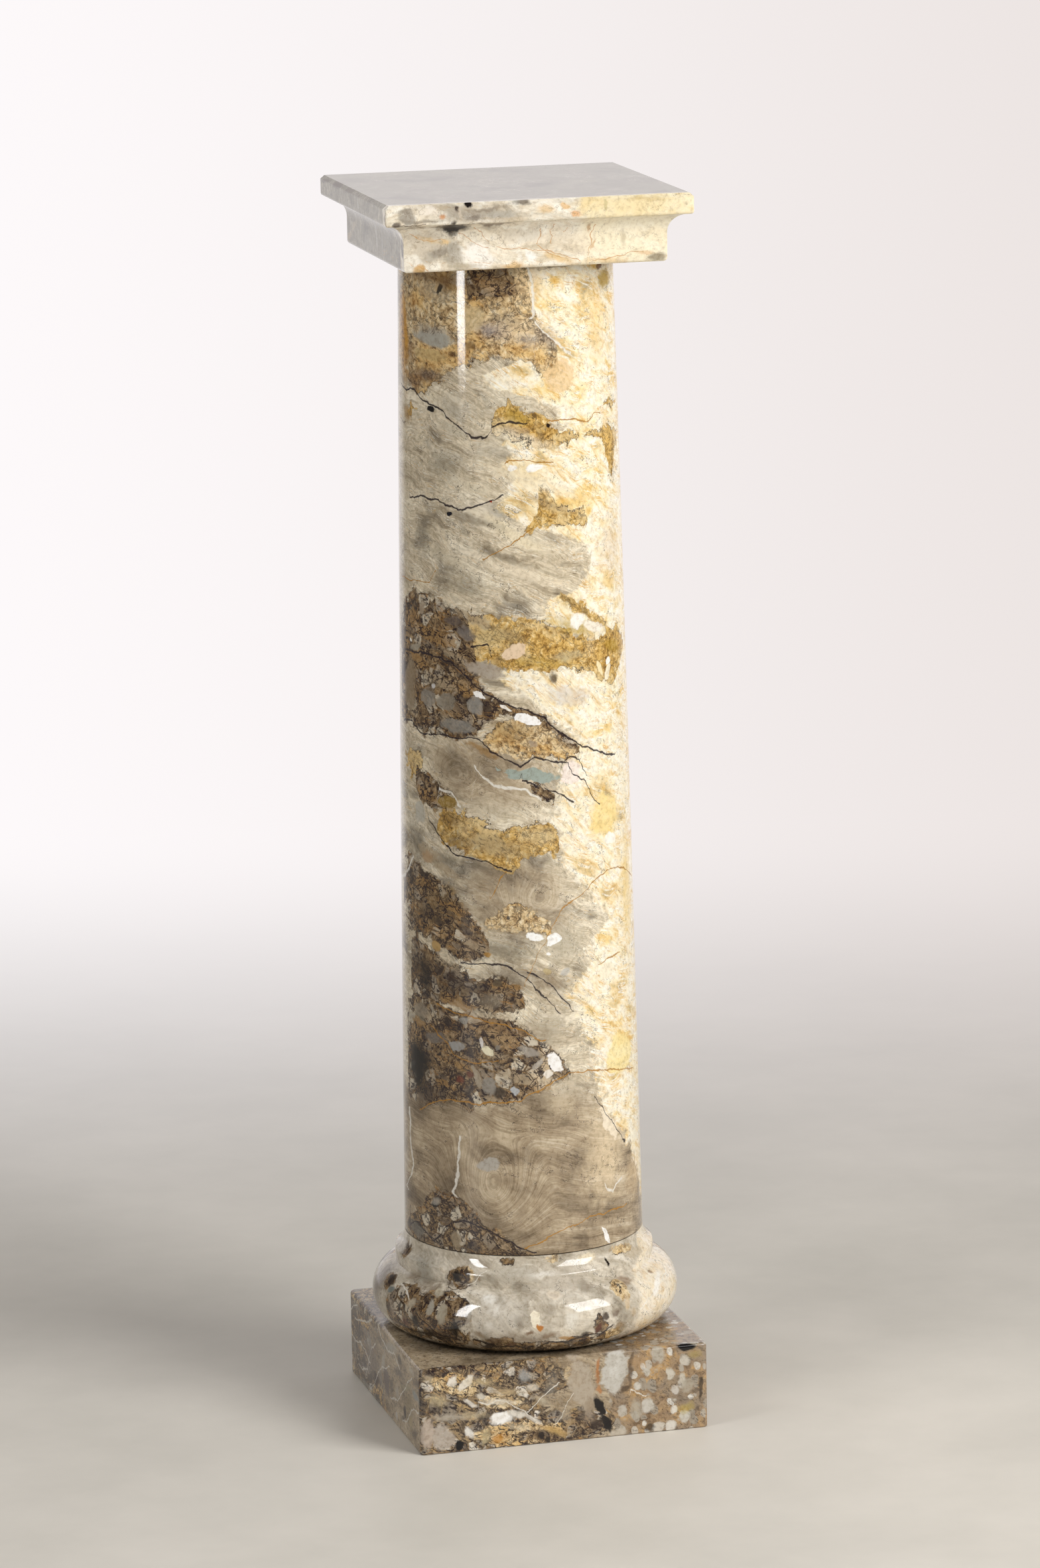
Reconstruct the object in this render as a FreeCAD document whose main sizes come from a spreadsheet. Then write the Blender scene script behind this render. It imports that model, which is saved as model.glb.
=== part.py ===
"""Marble pedestal column: square plinth, turned base, tapering shaft and a square capital.

The stones stand on one another on the Z axis, in millimetres, and the origin is the middle of the plinth's
underside. An iron dowel runs from the plinth through the base into the shaft. A pin in the shaft's head
carries the capital, which turns on it in a brass bush and lies on a brass washer.
"""

import FreeCAD, Part
import Sketcher
import os

V = FreeCAD.Vector

# The driving dimensions: alias, value as a plain number in mm or degrees, and what it measures.
SIZES = [
    ("plinth_side", 260.0, "side of the square plinth"),
    ("plinth_height", 77.0, "height of the plinth"),
    ("plinth_arris", 3.0, "rounding of the plinth's upper arrises"),
    ("plinth_corner", 4.0, "rounding of the plinth's upright corners"),
    ("plinth_foot_arris", 1.2, "easing of the plinth's lower arrises"),
    ("lower_bed", 0.6, "thickness of the bed between plinth and base"),
    ("upper_bed", 0.5, "thickness of the bed between base and shaft"),
    ("bed_setback", 1.5, "how far a bed stays inside the edge of the stone on it"),
    ("torus_radius", 29.5, "radius of the torus's round section"),
    ("torus_projection", 21.1, "how far the torus stands out from the band above it"),
    ("band_height", 10.4, "height of the upright band above the crown of the torus"),
    ("band_arris", 0.8, "chamfer of the band's upper arris"),
    ("flare_projection", 8.8, "how far the band stands out from the foot of the shaft"),
    ("flare_height", 15.4, "height of the hollow flare between band and shaft"),
    ("shaft_height", 863.0, "height of the shaft"),
    ("foot_radius", 105.6, "radius of the shaft at its foot, and of the base's top"),
    ("head_radius", 92.5, "radius of the shaft at its head"),
    ("entasis", 0.8, "how far the shaft swells beyond a straight taper, halfway up"),
    ("shaft_arris", 1.2, "chamfer at both ends of the shaft"),
    ("capital_height", 59.2, "height of the capital"),
    ("capital_turn", -1.4, "degrees that the capital stands turned from the plinth"),
    ("slab_side", 266.0, "side of the capital's square slab"),
    ("slab_thickness", 18.0, "thickness of that slab, from its top to its soffit"),
    ("slab_chamfer", 3.2, "chamfer round the top of the slab"),
    ("slab_corner", 1.5, "rounding of the slab's upright corners"),
    ("soffit_round", 2.5, "rounding of the slab's lower arris"),
    ("cavetto_radius", 16.5, "radius of the hollow moulding below the slab"),
    ("neck_arris", 3.5, "rounding of the neck block's lower arrises"),
    ("dowel_diameter", 20.0, "diameter of the iron dowel"),
    ("dowel_in_plinth", 45.0, "depth of the dowel in the plinth"),
    ("dowel_in_shaft", 60.0, "depth of the dowel in the shaft"),
    ("dowel_slip", 1.0, "clearance round the dowel in the base's bore and the beds"),
    ("pin_diameter", 20.0, "diameter of the pin that the capital turns on"),
    ("pin_in_shaft", 50.0, "depth of the pin in the shaft"),
    ("bar_chamfer", 1.5, "chamfer at the ends of the dowel and the pin"),
    ("grout_cover", 7.0, "grout round the dowel or the pin in a socket"),
    ("grout_under", 4.0, "grout between the end of the dowel or the pin and its socket's end"),
    ("washer_setback", 17.5, "how far the brass washer stays inside the shaft's head"),
    ("washer_thickness", 1.5, "thickness of that washer"),
    ("washer_slip", 0.5, "clearance round the pin in the washer"),
    ("bush_length", 37.0, "length of the brass bush in the capital"),
    ("bush_wall", 3.5, "wall of that bush"),
    ("pin_running", 0.08, "running clearance between pin and bush"),
    ("pin_headroom", 2.5, "room above the pin in the bush"),
]

# Widths and heights that several pieces share, as expressions on the driving dimensions.
BAND_RADIUS = "(sizes.foot_radius + sizes.flare_projection)"
TORUS_REACH = f"({BAND_RADIUS} + sizes.torus_projection)"
SEAT_RADIUS = f"({TORUS_REACH} - sizes.torus_radius)"
BAND_TOP = "(2 * sizes.torus_radius + sizes.band_height)"
BASE_HEIGHT = f"({BAND_TOP} + sizes.flare_height)"
BORE_WIDTH = "(sizes.dowel_diameter + 2 * sizes.dowel_slip)"
DOWEL_SOCKET = "(sizes.dowel_diameter + 2 * sizes.grout_cover)"
PIN_SOCKET = "(sizes.pin_diameter + 2 * sizes.grout_cover)"
BUSH_BORE = "(sizes.pin_diameter + 2 * sizes.pin_running)"
BUSH_WIDTH = f"({BUSH_BORE} + 2 * sizes.bush_wall)"
BASE_FOOT = "(sizes.plinth_height + sizes.lower_bed)"
BASE_TOP = f"({BASE_FOOT} + {BASE_HEIGHT})"
SHAFT_FOOT = f"({BASE_TOP} + sizes.upper_bed)"
SWELL_RADIUS = "((sizes.foot_radius + sizes.head_radius) / 2 + sizes.entasis)"
SHAFT_HEAD = f"({SHAFT_FOOT} + sizes.shaft_height)"
CAPITAL_FOOT = f"({SHAFT_HEAD} + sizes.washer_thickness)"
SOFFIT_HEIGHT = "(sizes.capital_height - sizes.slab_thickness)"
NECK_HALF = "(sizes.slab_side / 2 - sizes.soffit_round - sizes.cavetto_radius)"

# A point at 45 degrees on a round of radius 1, for the middle of a quarter arc.
DIAGONAL = 0.5**0.5


def make_sheet(doc):
    """The spreadsheet of driving dimensions, one row each."""
    sheet = doc.addObject("Spreadsheet::Sheet", "sizes")
    for row, (alias, value, meaning) in enumerate(SIZES, start=1):
        sheet.set(f"A{row}", alias)
        sheet.set(f"B{row}", str(value))
        sheet.set(f"C{row}", meaning)
        sheet.setAlias(f"B{row}", alias)
    doc.recompute()
    return sheet


def value_of(item, expression):
    """The number that an expression on the driving dimensions gives now."""
    return float(item.evalExpression(expression))


def new_body(doc, name, height):
    """An empty body with its label, lifted to a height on the Z axis."""
    body = doc.addObject("PartDesign::Body", name)
    body.Label = name
    body.setExpression("Placement.Base.z", height)
    return body


def origin_item(body, role):
    """One of a body's own origin planes or axes."""
    return next(item for item in body.Origin.OriginFeatures if item.Role == role)


def new_sketch(body, name, role, lift=None):
    """A sketch on one of the body's own planes, moved along that plane's normal."""
    sketch = body.newObject("Sketcher::SketchObject", name)
    sketch.AttachmentSupport = [(origin_item(body, role), "")]
    sketch.MapMode = "FlatFace"
    if lift:
        sketch.setExpression("AttachmentOffset.Base.z", lift)
    return sketch


def constrain(sketch, kind, *arguments):
    """Adds one constraint to a sketch and returns its index."""
    return sketch.addConstraint(Sketcher.Constraint(kind, *arguments))


def measure(sketch, name, expression, kind, *arguments):
    """Adds a dimension to a sketch, with a name, and ties it to an expression."""
    index = constrain(sketch, kind, *arguments, value_of(sketch, expression))
    sketch.renameConstraint(index, name)
    sketch.setExpression(f"Constraints.{name}", expression)


def circle_sketch(body, name, diameter, lift=None):
    """A circle round the body's axis."""
    sketch = new_sketch(body, name, "XY_Plane", lift)
    radius = value_of(body, diameter) / 2
    sketch.addGeometry(Part.Circle(V(0, 0, 0), V(0, 0, 1), radius), False)
    constrain(sketch, "Coincident", 0, 3, -1, 1)
    measure(sketch, "diameter", diameter, "Diameter", 0)
    return sketch


def square_sketch(body, name, side):
    """A square round the body's axis."""
    sketch = new_sketch(body, name, "XY_Plane")
    half = value_of(body, side) / 2
    corners = [V(-half, -half), V(half, -half), V(half, half), V(-half, half)]
    draw_outline(sketch, [(corner, None) for corner in corners])
    constrain(sketch, "Symmetric", 0, 1, 2, 1, -1, 1)
    measure(sketch, "width", side, "DistanceX", 0, 1, 0, 2)
    measure(sketch, "depth", side, "DistanceY", 1, 1, 1, 2)
    return sketch


def draw_outline(sketch, corners):
    """Draws a closed outline and joins its edges, keeping level and upright lines so.

    A corner is its point and, where an arc starts there, a point on that arc. Returns the first and
    last end of each edge, because an arc's own start may be at either.
    """
    count = len(corners)
    ends = []
    for i, (point, on_arc) in enumerate(corners):
        following = corners[(i + 1) % count][0]
        arc = Part.Arc(point, on_arc, following) if on_arc else None
        sketch.addGeometry(arc or Part.LineSegment(point, following), False)
        starts_here = sketch.getPoint(i, 1).distanceToPoint(point) < 1e-6
        ends.append((1, 2) if starts_here else (2, 1))
        if not arc and point.y == following.y:
            constrain(sketch, "Horizontal", i)
        if not arc and point.x == following.x:
            constrain(sketch, "Vertical", i)
    for i in range(count):
        after = (i + 1) % count
        constrain(sketch, "Coincident", i, ends[i][1], after, ends[after][0])
    return ends


def locate(sketch, name, edge, end, across=None, up=None):
    """Ties how far an edge's end lies across and up from the origin to expressions."""
    if across:
        measure(sketch, f"{name}_across", across, "DistanceX", -1, 1, edge, end)
    if up:
        measure(sketch, f"{name}_up", up, "DistanceY", -1, 1, edge, end)


def pad(body, name, sketch, length):
    """Adds material above a sketch."""
    feature = body.newObject("PartDesign::Pad", name)
    feature.Profile = sketch
    feature.setExpression("Length", length)
    sketch.Visibility = False
    return feature


def pocket(body, name, sketch, length, upwards=False):
    """Cuts down from a sketch, or up from it, and stops if nothing comes away."""
    body.Document.recompute()
    before = body.Tip.Shape.Volume
    feature = body.newObject("PartDesign::Pocket", name)
    feature.Profile = sketch
    feature.setExpression("Length", length)
    feature.Reversed = upwards
    sketch.Visibility = False
    body.Document.recompute()
    if feature.Shape.Volume >= before:
        raise RuntimeError(f"{name} cuts nothing")
    return feature


def revolve(body, name, sketch):
    """Turns a sketch through a full circle about the body's axis."""
    feature = body.newObject("PartDesign::Revolution", name)
    feature.Profile = sketch
    feature.ReferenceAxis = (origin_item(body, "Z_Axis"), [""])
    feature.Angle = 360.0
    sketch.Visibility = False
    return feature


def dress(body, kind, name, test, size):
    """A Fillet or Chamfer on the edges of the body that pass a test."""
    body.Document.recompute()
    base = body.Tip
    chosen = [f"Edge{i}" for i, edge in enumerate(base.Shape.Edges, start=1) if test(edge)]
    feature = body.newObject(f"PartDesign::{kind}", name)
    feature.Base = (base, chosen)
    feature.setExpression("Radius" if kind == "Fillet" else "Size", size)
    body.Document.recompute()
    return feature


def is_level(height):
    """Test for edges that lie level at a height."""

    def test(edge):
        box = edge.BoundBox
        return abs(box.ZMin - height) < 1e-4 and abs(box.ZMax - height) < 1e-4

    return test


def is_rim(radius, height=None):
    """Test for circles of a radius, at one height or at any."""

    def test(edge):
        round_edge = isinstance(edge.Curve, Part.Circle) and abs(edge.Curve.Radius - radius) < 1e-4
        return round_edge and (height is None or is_level(height)(edge))

    return test


def is_corner(half_side):
    """Test for straight upright edges at the corners of a square round the axis."""

    def test(edge):
        box = edge.BoundBox
        upright = box.XLength < 1e-4 and box.YLength < 1e-4
        return upright and abs(abs(box.XMin) - half_side) < 1e-4 and abs(abs(box.YMin) - half_side) < 1e-4

    return test


def make_plinth(doc):
    """Square plinth with eased arrises, and the dowel's socket in its top."""
    body = new_body(doc, "plinth", "0")
    pad(body, "plinth_block", square_sketch(body, "plinth_outline", "sizes.plinth_side"),
        "sizes.plinth_height")
    corners = is_corner(value_of(body, "sizes.plinth_side") / 2)
    top = is_level(value_of(body, "sizes.plinth_height"))
    dress(body, "Fillet", "plinth_corners", corners, "sizes.plinth_corner")
    dress(body, "Fillet", "plinth_top_arris", top, "sizes.plinth_arris")
    dress(body, "Chamfer", "plinth_foot_arris", is_level(0), "sizes.plinth_foot_arris")
    mouth = circle_sketch(body, "plinth_socket_mouth", DOWEL_SOCKET, "sizes.plinth_height")
    pocket(body, "plinth_socket", mouth, "sizes.dowel_in_plinth + sizes.grout_under")
    return body


def base_section(body):
    """Half section of the base: torus, upright band and the hollow flare up to the shaft."""
    ring = value_of(body, "sizes.torus_radius")
    seat = value_of(body, SEAT_RADIUS)
    band = value_of(body, BAND_RADIUS)
    band_top = value_of(body, BAND_TOP)
    foot = value_of(body, "sizes.foot_radius")
    top = value_of(body, BASE_HEIGHT)
    rise = top - band_top
    hollow = ((band - foot) ** 2 + rise**2) / (2 * (band - foot))
    halfway = foot + hollow - (hollow**2 - (rise / 2) ** 2) ** 0.5
    shoulder = ring + (ring**2 - (band - seat) ** 2) ** 0.5
    sketch = new_sketch(body, "base_section", "XZ_Plane")
    ends = draw_outline(sketch, [
        (V(0, 0), None),
        (V(seat, 0), V(seat + ring, ring)),
        (V(band, shoulder), None),
        (V(band, band_top), V(halfway, top - rise / 2)),
        (V(foot, top), None),
        (V(0, top), None),
    ])
    torus, upright, flare, crown = 1, 2, 3, 4
    constrain(sketch, "Coincident", 0, 1, -1, 1)
    constrain(sketch, "Vertical", torus, 3, torus, ends[torus][0])
    constrain(sketch, "Horizontal", flare, 3, flare, ends[flare][1])
    measure(sketch, "ring", "sizes.torus_radius", "Radius", torus)
    locate(sketch, "seat", torus, ends[torus][0], across=SEAT_RADIUS)
    locate(sketch, "band", upright, 2, across=BAND_RADIUS, up=BAND_TOP)
    locate(sketch, "foot", crown, 1, across="sizes.foot_radius", up=BASE_HEIGHT)
    return sketch


def make_base(doc):
    """Turned base of torus, band and flare, bored through for the dowel."""
    body = new_body(doc, "base_moulding", BASE_FOOT)
    revolve(body, "base_turning", base_section(body))
    rim = is_rim(value_of(body, BAND_RADIUS), value_of(body, BAND_TOP))
    dress(body, "Chamfer", "band_rim", rim, "sizes.band_arris")
    mouth = circle_sketch(body, "base_bore_mouth", BORE_WIDTH, BASE_HEIGHT)
    pocket(body, "base_bore", mouth, BASE_HEIGHT)
    return body


def shaft_section(body):
    """Half section of the shaft: two tapers that meet halfway up, a little outside a straight line."""
    foot = value_of(body, "sizes.foot_radius")
    head = value_of(body, "sizes.head_radius")
    swell = value_of(body, SWELL_RADIUS)
    tall = value_of(body, "sizes.shaft_height")
    ease = value_of(body, "sizes.shaft_arris")
    sketch = new_sketch(body, "shaft_section", "XZ_Plane")
    draw_outline(sketch, [
        (V(0, 0), None),
        (V(foot - ease, 0), None),
        (V(foot, ease), None),
        (V(swell, tall / 2), None),
        (V(head, tall - ease), None),
        (V(head - ease, tall), None),
        (V(0, tall), None),
    ])
    constrain(sketch, "Coincident", 0, 1, -1, 1)
    foot_chamfer, lower_side, upper_side, head_chamfer, head_face = range(1, 6)
    locate(sketch, "foot_face", foot_chamfer, 1, across="sizes.foot_radius - sizes.shaft_arris")
    locate(sketch, "side_foot", lower_side, 1, "sizes.foot_radius", "sizes.shaft_arris")
    locate(sketch, "swell", upper_side, 1, SWELL_RADIUS, "sizes.shaft_height / 2")
    locate(sketch, "side_head", head_chamfer, 1, "sizes.head_radius",
           "sizes.shaft_height - sizes.shaft_arris")
    locate(sketch, "head_face", head_face, 1, "sizes.head_radius - sizes.shaft_arris",
           "sizes.shaft_height")
    return sketch


def make_shaft(doc):
    """Tapering shaft with eased ends, and a socket in each end."""
    body = new_body(doc, "shaft", SHAFT_FOOT)
    revolve(body, "shaft_turning", shaft_section(body))
    foot = circle_sketch(body, "foot_socket_mouth", DOWEL_SOCKET)
    pocket(body, "foot_socket", foot, "sizes.dowel_in_shaft + sizes.grout_under", upwards=True)
    head = circle_sketch(body, "head_socket_mouth", PIN_SOCKET, "sizes.shaft_height")
    pocket(body, "head_socket", head, "sizes.pin_in_shaft + sizes.grout_under")
    return body


def moulding_waste(body):
    """Section of the stone that is cut away below one edge of the capital's slab."""
    face = value_of(body, "sizes.slab_side") / 2
    ease = value_of(body, "sizes.soffit_round")
    hollow = value_of(body, "sizes.cavetto_radius")
    arris = value_of(body, "sizes.neck_arris")
    neck = value_of(body, NECK_HALF)
    soffit = value_of(body, SOFFIT_HEIGHT)
    arris_arc = V(neck - arris * (1 - DIAGONAL), arris * (1 - DIAGONAL))
    hollow_arc = V(neck + hollow * (1 - DIAGONAL), soffit - hollow * (1 - DIAGONAL))
    ease_arc = V(face - ease * (1 - DIAGONAL), soffit + ease * (1 - DIAGONAL))
    sketch = new_sketch(body, "moulding_waste", "XZ_Plane")
    ends = draw_outline(sketch, [
        (V(neck - arris, 0), arris_arc),
        (V(neck, arris), None),
        (V(neck, soffit - hollow), hollow_arc),
        (V(neck + hollow, soffit), ease_arc),
        (V(face, soffit + ease), None),
        (V(face + hollow, soffit + ease), None),
        (V(face + hollow, 0), None),
    ])
    lower, cavetto, upper, clear = 0, 2, 3, 5
    constrain(sketch, "Horizontal", lower, 3, lower, ends[lower][1])
    constrain(sketch, "Vertical", lower, 3, lower, ends[lower][0])
    constrain(sketch, "Horizontal", cavetto, 3, cavetto, ends[cavetto][0])
    constrain(sketch, "Vertical", cavetto, 3, cavetto, ends[cavetto][1])
    constrain(sketch, "Vertical", upper, 3, upper, ends[upper][0])
    constrain(sketch, "PointOnObject", clear, 2, -1)
    measure(sketch, "arris", "sizes.neck_arris", "Radius", lower)
    measure(sketch, "hollow", "sizes.cavetto_radius", "Radius", cavetto)
    locate(sketch, "soffit", upper, ends[upper][0], NECK_HALF + " + sizes.cavetto_radius",
           SOFFIT_HEIGHT)
    locate(sketch, "face", upper, ends[upper][1], "sizes.slab_side / 2",
           f"{SOFFIT_HEIGHT} + sizes.soffit_round")
    locate(sketch, "clear", clear, 1, across="sizes.slab_side / 2 + sizes.cavetto_radius")
    return sketch


def make_capital(doc):
    """Square capital: a slab, a hollow moulding mitred round four sides, a neck block and a socket."""
    body = new_body(doc, "capital", CAPITAL_FOOT)
    body.setExpression("Placement.Rotation.Angle", "sizes.capital_turn * 1 deg")
    pad(body, "capital_block", square_sketch(body, "capital_outline", "sizes.slab_side"),
        "sizes.capital_height")
    top = is_level(value_of(body, "sizes.capital_height"))
    dress(body, "Chamfer", "slab_top_chamfer", top, "sizes.slab_chamfer")
    slab_corners = is_corner(value_of(body, "sizes.slab_side") / 2)
    dress(body, "Fillet", "slab_corners", slab_corners, "sizes.slab_corner")
    run = body.newObject("PartDesign::Pocket", "moulding_run")
    run.Profile = moulding_waste(body)
    run.Midplane = True
    run.setExpression("Length", "sizes.slab_side + 4 * sizes.cavetto_radius")
    doc.recompute()
    sides = body.newObject("PartDesign::PolarPattern", "moulding_sides")
    sides.Originals = [run]
    sides.Axis = (origin_item(body, "Z_Axis"), [""])
    sides.Angle = 360.0
    sides.Occurrences = 4
    body.Tip = sides
    mouth = circle_sketch(body, "bush_socket_mouth", BUSH_WIDTH)
    pocket(body, "bush_socket", mouth, "sizes.bush_length", upwards=True)
    return body


def make_bar(doc, name, diameter, length, height):
    """Round iron bar with chamfered ends."""
    body = new_body(doc, name, height)
    pad(body, f"{name}_round", circle_sketch(body, f"{name}_section", diameter), length)
    ends = is_rim(value_of(body, diameter) / 2)
    dress(body, "Chamfer", f"{name}_ends", ends, "sizes.bar_chamfer")
    return body


def make_grout(doc, name, bar, socket, depth, height, mouth_up):
    """Grout that fills a socket round a bar and behind its end, with its mouth up or down."""
    body = new_body(doc, name, height)
    fill = f"{depth} + sizes.grout_under"
    pad(body, f"{name}_fill", circle_sketch(body, f"{name}_section", socket), fill)
    mouth = circle_sketch(body, f"{name}_mouth", bar, fill if mouth_up else None)
    pocket(body, f"{name}_bar", mouth, depth, upwards=not mouth_up)
    return body


def make_ring(doc, name, outer, inner, thickness, height):
    """Round piece with a round hole: a bed, the washer or the bush."""
    body = new_body(doc, name, height)
    pad(body, f"{name}_disc", circle_sketch(body, f"{name}_rim", outer), thickness)
    eye = circle_sketch(body, f"{name}_eye", inner, thickness)
    pocket(body, f"{name}_hole", eye, thickness)
    return body


def make_dowelling(doc):
    """The dowel in the base, the grout in its two sockets and the beds that it passes through."""
    in_plinth, in_shaft = "sizes.dowel_in_plinth", "sizes.dowel_in_shaft"
    foot = f"sizes.plinth_height - {in_plinth}"
    length = f"{in_plinth} + {SHAFT_FOOT} - sizes.plinth_height + {in_shaft}"
    lower_rim = f"2 * ({SEAT_RADIUS} - sizes.bed_setback)"
    upper_rim = "2 * (sizes.foot_radius - sizes.bed_setback)"
    return [
        make_bar(doc, "base_dowel", "sizes.dowel_diameter", length, foot),
        make_grout(doc, "plinth_dowel_grout", "sizes.dowel_diameter", DOWEL_SOCKET, in_plinth,
                   f"{foot} - sizes.grout_under", mouth_up=True),
        make_grout(doc, "shaft_dowel_grout", "sizes.dowel_diameter", DOWEL_SOCKET, in_shaft,
                   SHAFT_FOOT, mouth_up=False),
        make_ring(doc, "plinth_joint_bed", lower_rim, BORE_WIDTH, "sizes.lower_bed",
                  "sizes.plinth_height"),
        make_ring(doc, "shaft_joint_bed", upper_rim, BORE_WIDTH, "sizes.upper_bed", BASE_TOP),
    ]


def make_swivel(doc):
    """The pin in the shaft's head with its grout, and the washer and bush that the capital turns on."""
    foot = f"{SHAFT_HEAD} - sizes.pin_in_shaft"
    length = f"{CAPITAL_FOOT} + sizes.bush_length - sizes.pin_headroom - ({foot})"
    washer_rim = "2 * (sizes.head_radius - sizes.washer_setback)"
    washer_eye = "sizes.pin_diameter + 2 * sizes.washer_slip"
    return [
        make_bar(doc, "capital_pin", "sizes.pin_diameter", length, foot),
        make_grout(doc, "capital_pin_grout", "sizes.pin_diameter", PIN_SOCKET,
                   "sizes.pin_in_shaft", f"{foot} - sizes.grout_under", mouth_up=True),
        make_ring(doc, "swivel_washer", washer_rim, washer_eye, "sizes.washer_thickness",
                  SHAFT_HEAD),
        make_ring(doc, "capital_bush", BUSH_WIDTH, BUSH_BORE, "sizes.bush_length", CAPITAL_FOOT),
    ]


def check(doc, bodies):
    """Stops if an object failed to compute or a piece isn't one sound solid."""
    doc.recompute()
    for item in doc.Objects:
        if "Invalid" in item.State or "Error" in item.State:
            raise RuntimeError(f"{item.Label} did not compute: {item.State}")
    for body in bodies:
        shape = body.Shape
        if shape.isNull() or not shape.isValid() or len(shape.Solids) != 1:
            raise RuntimeError(f"{body.Label} is not one sound solid")


def main():
    doc = FreeCAD.newDocument("pedestal")
    make_sheet(doc)
    stones = [make_plinth(doc), make_base(doc), make_shaft(doc), make_capital(doc)]
    bodies = stones + make_dowelling(doc) + make_swivel(doc)
    check(doc, bodies)
    os.makedirs("parts", exist_ok=True)
    for body in bodies:
        body.Shape.exportStep(f"parts/{body.Label}.step")
        box = body.Shape.BoundBox
        print(f"{body.Label}: {body.Shape.Volume / 1000:.1f} cm3, z {box.ZMin:.2f} to {box.ZMax:.2f}")


main()
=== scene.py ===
"""Looks of the pedestal column stand: its four polished stones with their veins, the beds, bars and bearing
between them, and the floor, lamps and camera of a plain studio.

Shapes are in metres. Everything that is laid out in the stone's pattern is in millimetres and degrees.
"""
import math
from functools import reduce

import bpy
from mathutils import Matrix, Vector


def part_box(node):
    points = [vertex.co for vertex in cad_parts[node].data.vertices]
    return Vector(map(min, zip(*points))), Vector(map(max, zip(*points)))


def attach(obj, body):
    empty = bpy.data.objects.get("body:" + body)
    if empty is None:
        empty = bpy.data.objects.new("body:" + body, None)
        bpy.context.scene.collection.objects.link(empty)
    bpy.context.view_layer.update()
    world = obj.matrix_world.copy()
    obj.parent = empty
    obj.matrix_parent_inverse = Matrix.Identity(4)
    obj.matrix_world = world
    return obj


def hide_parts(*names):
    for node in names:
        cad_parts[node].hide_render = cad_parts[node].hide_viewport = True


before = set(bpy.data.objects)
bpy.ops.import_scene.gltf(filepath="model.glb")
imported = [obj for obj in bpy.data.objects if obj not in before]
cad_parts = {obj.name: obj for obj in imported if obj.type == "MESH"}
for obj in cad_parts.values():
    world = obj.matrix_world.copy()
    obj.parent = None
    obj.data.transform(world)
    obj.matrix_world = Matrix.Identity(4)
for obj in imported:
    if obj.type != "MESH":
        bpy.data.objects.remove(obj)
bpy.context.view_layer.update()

# ---------------------------------------------------------------- camera

PHOTO_PLACE = Vector((-1.3210, -5.0145, 1.6508))
PHOTO_YAW, PHOTO_PITCH, PHOTO_ROLL = 0.2584, 0.2072, 0.0191
PHOTO_LENS = 139.11
SENSOR_WIDTH = 36.0
# How far round from the front the camera stands, to the left.
PHOTO_SIDE = math.atan2(-PHOTO_PLACE.x, -PHOTO_PLACE.y)


def make_camera():
    """The camera, standing and looking as the photographer's did."""
    data = bpy.data.cameras.new("camera")
    data.lens = PHOTO_LENS
    data.sensor_width = SENSOR_WIDTH
    camera = bpy.data.objects.new("camera", data)
    bpy.context.scene.collection.objects.link(camera)
    turn = Matrix.Rotation(-PHOTO_YAW, 4, "Z") @ Matrix.Rotation(math.pi / 2 - PHOTO_PITCH, 4, "X")
    camera.matrix_world = Matrix.Translation(PHOTO_PLACE) @ turn @ Matrix.Rotation(-PHOTO_ROLL, 4, "Z")
    bpy.context.scene.camera = camera


make_camera()

# ---------------------------------------------------------------- shader kit


def tone(red, green, blue):
    """A colour as a screen shows it, 0 to 255 a channel, as the light that a shader works with."""
    shares = [channel / 255 for channel in (red, green, blue)]
    return tuple(s / 12.92 if s <= 0.04045 else ((s + 0.055) / 1.055) ** 2.4 for s in shares) + (1.0,)


class Wire:
    """An output socket that can be added to, multiplied and so on, as a number can."""

    def __init__(self, finish, socket):
        self.finish = finish
        self.socket = socket

    def worked(self, operation, *values):
        """The result of one sum. Of the values, this wire is one."""
        return self.finish.node("Math", {"operation": operation}, values)

    def __add__(self, other):
        return self.worked("ADD", self, other)

    def __radd__(self, other):
        return self.worked("ADD", other, self)

    def __sub__(self, other):
        return self.worked("SUBTRACT", self, other)

    def __rsub__(self, other):
        return self.worked("SUBTRACT", other, self)

    def __mul__(self, other):
        return self.worked("MULTIPLY", self, other)

    def __rmul__(self, other):
        return self.worked("MULTIPLY", other, self)

    def __truediv__(self, other):
        return self.worked("DIVIDE", self, other)

    def __rtruediv__(self, other):
        return self.worked("DIVIDE", other, self)

    def __abs__(self):
        return self.worked("ABSOLUTE", self)

    def lesser(self, other):
        """The smaller of the two."""
        return self.worked("MINIMUM", self, other)

    def greater(self, other):
        """The larger of the two."""
        return self.worked("MAXIMUM", self, other)


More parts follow.
